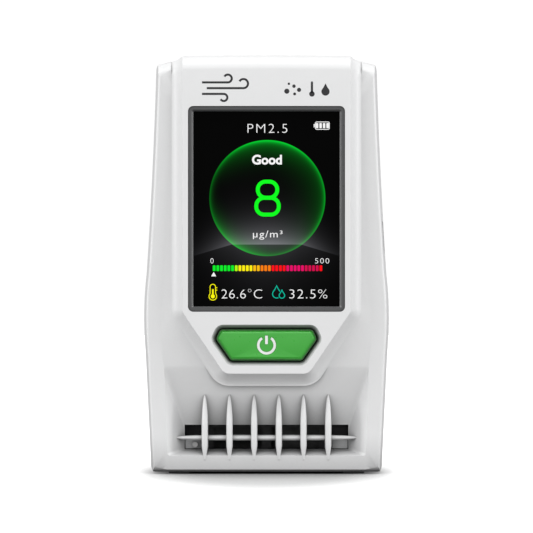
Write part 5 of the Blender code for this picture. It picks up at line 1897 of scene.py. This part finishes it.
# ---- studio --------------------------------------------------------------------------------------
@dataclass
class Studio:
    """A pale floor, soft lights and the camera."""

    target: tuple[float, float, float] = (0.0, -0.014, 0.0613)
    distance: float = 1.5
    view_width: float = 0.1575
    floor_size: float = 3.0
    front_level: float = 1.17
    back_level: float = 0.45
    below_level: float = 0.25
    side_power: float = 2.8
    top_power: float = 1.8

    def floor(self) -> None:
        """A wide pale floor."""
        builder = bmesh.new()
        half = self.floor_size / MM
        corners = [builder.verts.new((x, y, -0.01)) for x, y in rectangle(-half, half, -half, half)]
        builder.faces.new(corners)
        floor = make_object("floor", builder)
        dress(floor, Paper().make())
        floor.visible_diffuse = False
        floor.visible_glossy = False

    def lamp(self, name: str, place: tuple[float, float, float], size: tuple[float, float],
             power: float) -> None:
        """A soft rectangular light that faces the object.

        Args:
            name: Name of the light.
            place: Where it is, in metres.
            size: Its width and height in metres.
            power: Its power in watts.
        """
        data = bpy.data.lights.new(name, "AREA")
        data.shape = "RECTANGLE"
        data.size, data.size_y = size
        data.energy = power
        lamp = bpy.data.objects.new(name, data)
        lamp.location = place
        aim = Vector(self.target) - Vector(place)
        lamp.rotation_euler = aim.to_track_quat("-Z", "Y").to_euler()
        bpy.context.scene.collection.objects.link(lamp)

    def span(self, tree: bpy.types.NodeTree, value: bpy.types.NodeSocket, source: Point,
             target: Point) -> bpy.types.NodeSocket:
        """Map one range of a value onto another.

        Args:
            tree: The world's node tree.
            value: The value.
            source: Its first and last value.
            target: What those become.

        Returns:
            The mapped value.
        """
        node = tree.nodes.new("ShaderNodeMapRange")
        node.inputs["From Min"].default_value, node.inputs["From Max"].default_value = source
        node.inputs["To Min"].default_value, node.inputs["To Max"].default_value = target
        tree.links.new(value, node.inputs["Value"])
        return node.outputs[0]

    def air(self) -> None:
        """Light from all round: white behind and above, softer from the front."""
        world = bpy.data.worlds.new("studio_air")
        world.use_nodes = True
        tree = world.node_tree
        way = tree.nodes.new("ShaderNodeTexCoord")
        parts = tree.nodes.new("ShaderNodeSeparateXYZ")
        tree.links.new(way.outputs["Generated"], parts.inputs[0])
        level = self.span(tree, parts.outputs["Y"], (-0.5, 0.3), (self.front_level, self.back_level))
        below = self.span(tree, parts.outputs["Z"], (-0.7, 0.35), (self.below_level, 1.0))
        both = tree.nodes.new("ShaderNodeMath")
        both.operation = "MULTIPLY"
        tree.links.new(level, both.inputs[0])
        tree.links.new(below, both.inputs[1])
        seen = tree.nodes.new("ShaderNodeLightPath")
        pick = tree.nodes.new("ShaderNodeMix")
        tree.links.new(seen.outputs["Is Camera Ray"], pick.inputs["Factor"])
        tree.links.new(both.outputs[0], pick.inputs["A"])
        pick.inputs["B"].default_value = 1.02
        backdrop = tree.nodes["Background"]
        backdrop.inputs["Color"].default_value = (1.0, 1.0, 1.0, 1.0)
        tree.links.new(pick.outputs["Result"], backdrop.inputs["Strength"])
        bpy.context.scene.world = world

    def build(self) -> None:
        """Set up the floor, world, lights and camera."""
        self.floor()
        self.air()
        self.lamp("left_strip", (-0.8, -0.14, 0.25), (0.14, 0.8), self.side_power)
        self.lamp("right_strip", (0.8, -0.14, 0.25), (0.14, 0.8), self.side_power)
        self.lamp("top_strip", (0.0, -0.3, 0.9), (0.8, 0.12), self.top_power)
        scene = bpy.context.scene
        scene.view_settings.view_transform = "Standard"
        data = bpy.data.cameras.new("camera")
        data.sensor_width = 36.0
        data.lens = data.sensor_width * self.distance / self.view_width
        camera = bpy.data.objects.new("camera", data)
        camera.location = (self.target[0], self.target[1] - self.distance, self.target[2])
        camera.rotation_euler = (math.pi / 2, 0.0, 0.0)
        scene.collection.objects.link(camera)
        scene.camera = camera


def main() -> None:
    """Build every piece round the frame and report each one."""
    logging.basicConfig(level=logging.INFO, format="%(name)s: %(message)s")
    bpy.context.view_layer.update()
    Studio().build()
    finishes = Finishes.create()
    shape = CaseShape()
    button, screen = PowerButton(), Screen()
    front = FrontCover(shape)
    front.dress(front.build(button, screen), finishes, button)
    LOG.info("front cover built")
    rear = RearCover(shape)
    rear.dress(rear.build(), finishes)
    LOG.info("rear cover built")
    button.dress(button.build(shape), finishes)
    LOG.info("power button built")
    screen.build()
    screen.dress(finishes)
    LOG.info("screen built with %d lit pieces", len(screen.made))
    PrintedSigns(shape).build(finishes)
    LOG.info("printed signs built")
    count = InnerParts().dress(finishes)
    LOG.info("%d inner parts dressed", count)


if __name__ == "__main__":
    main()
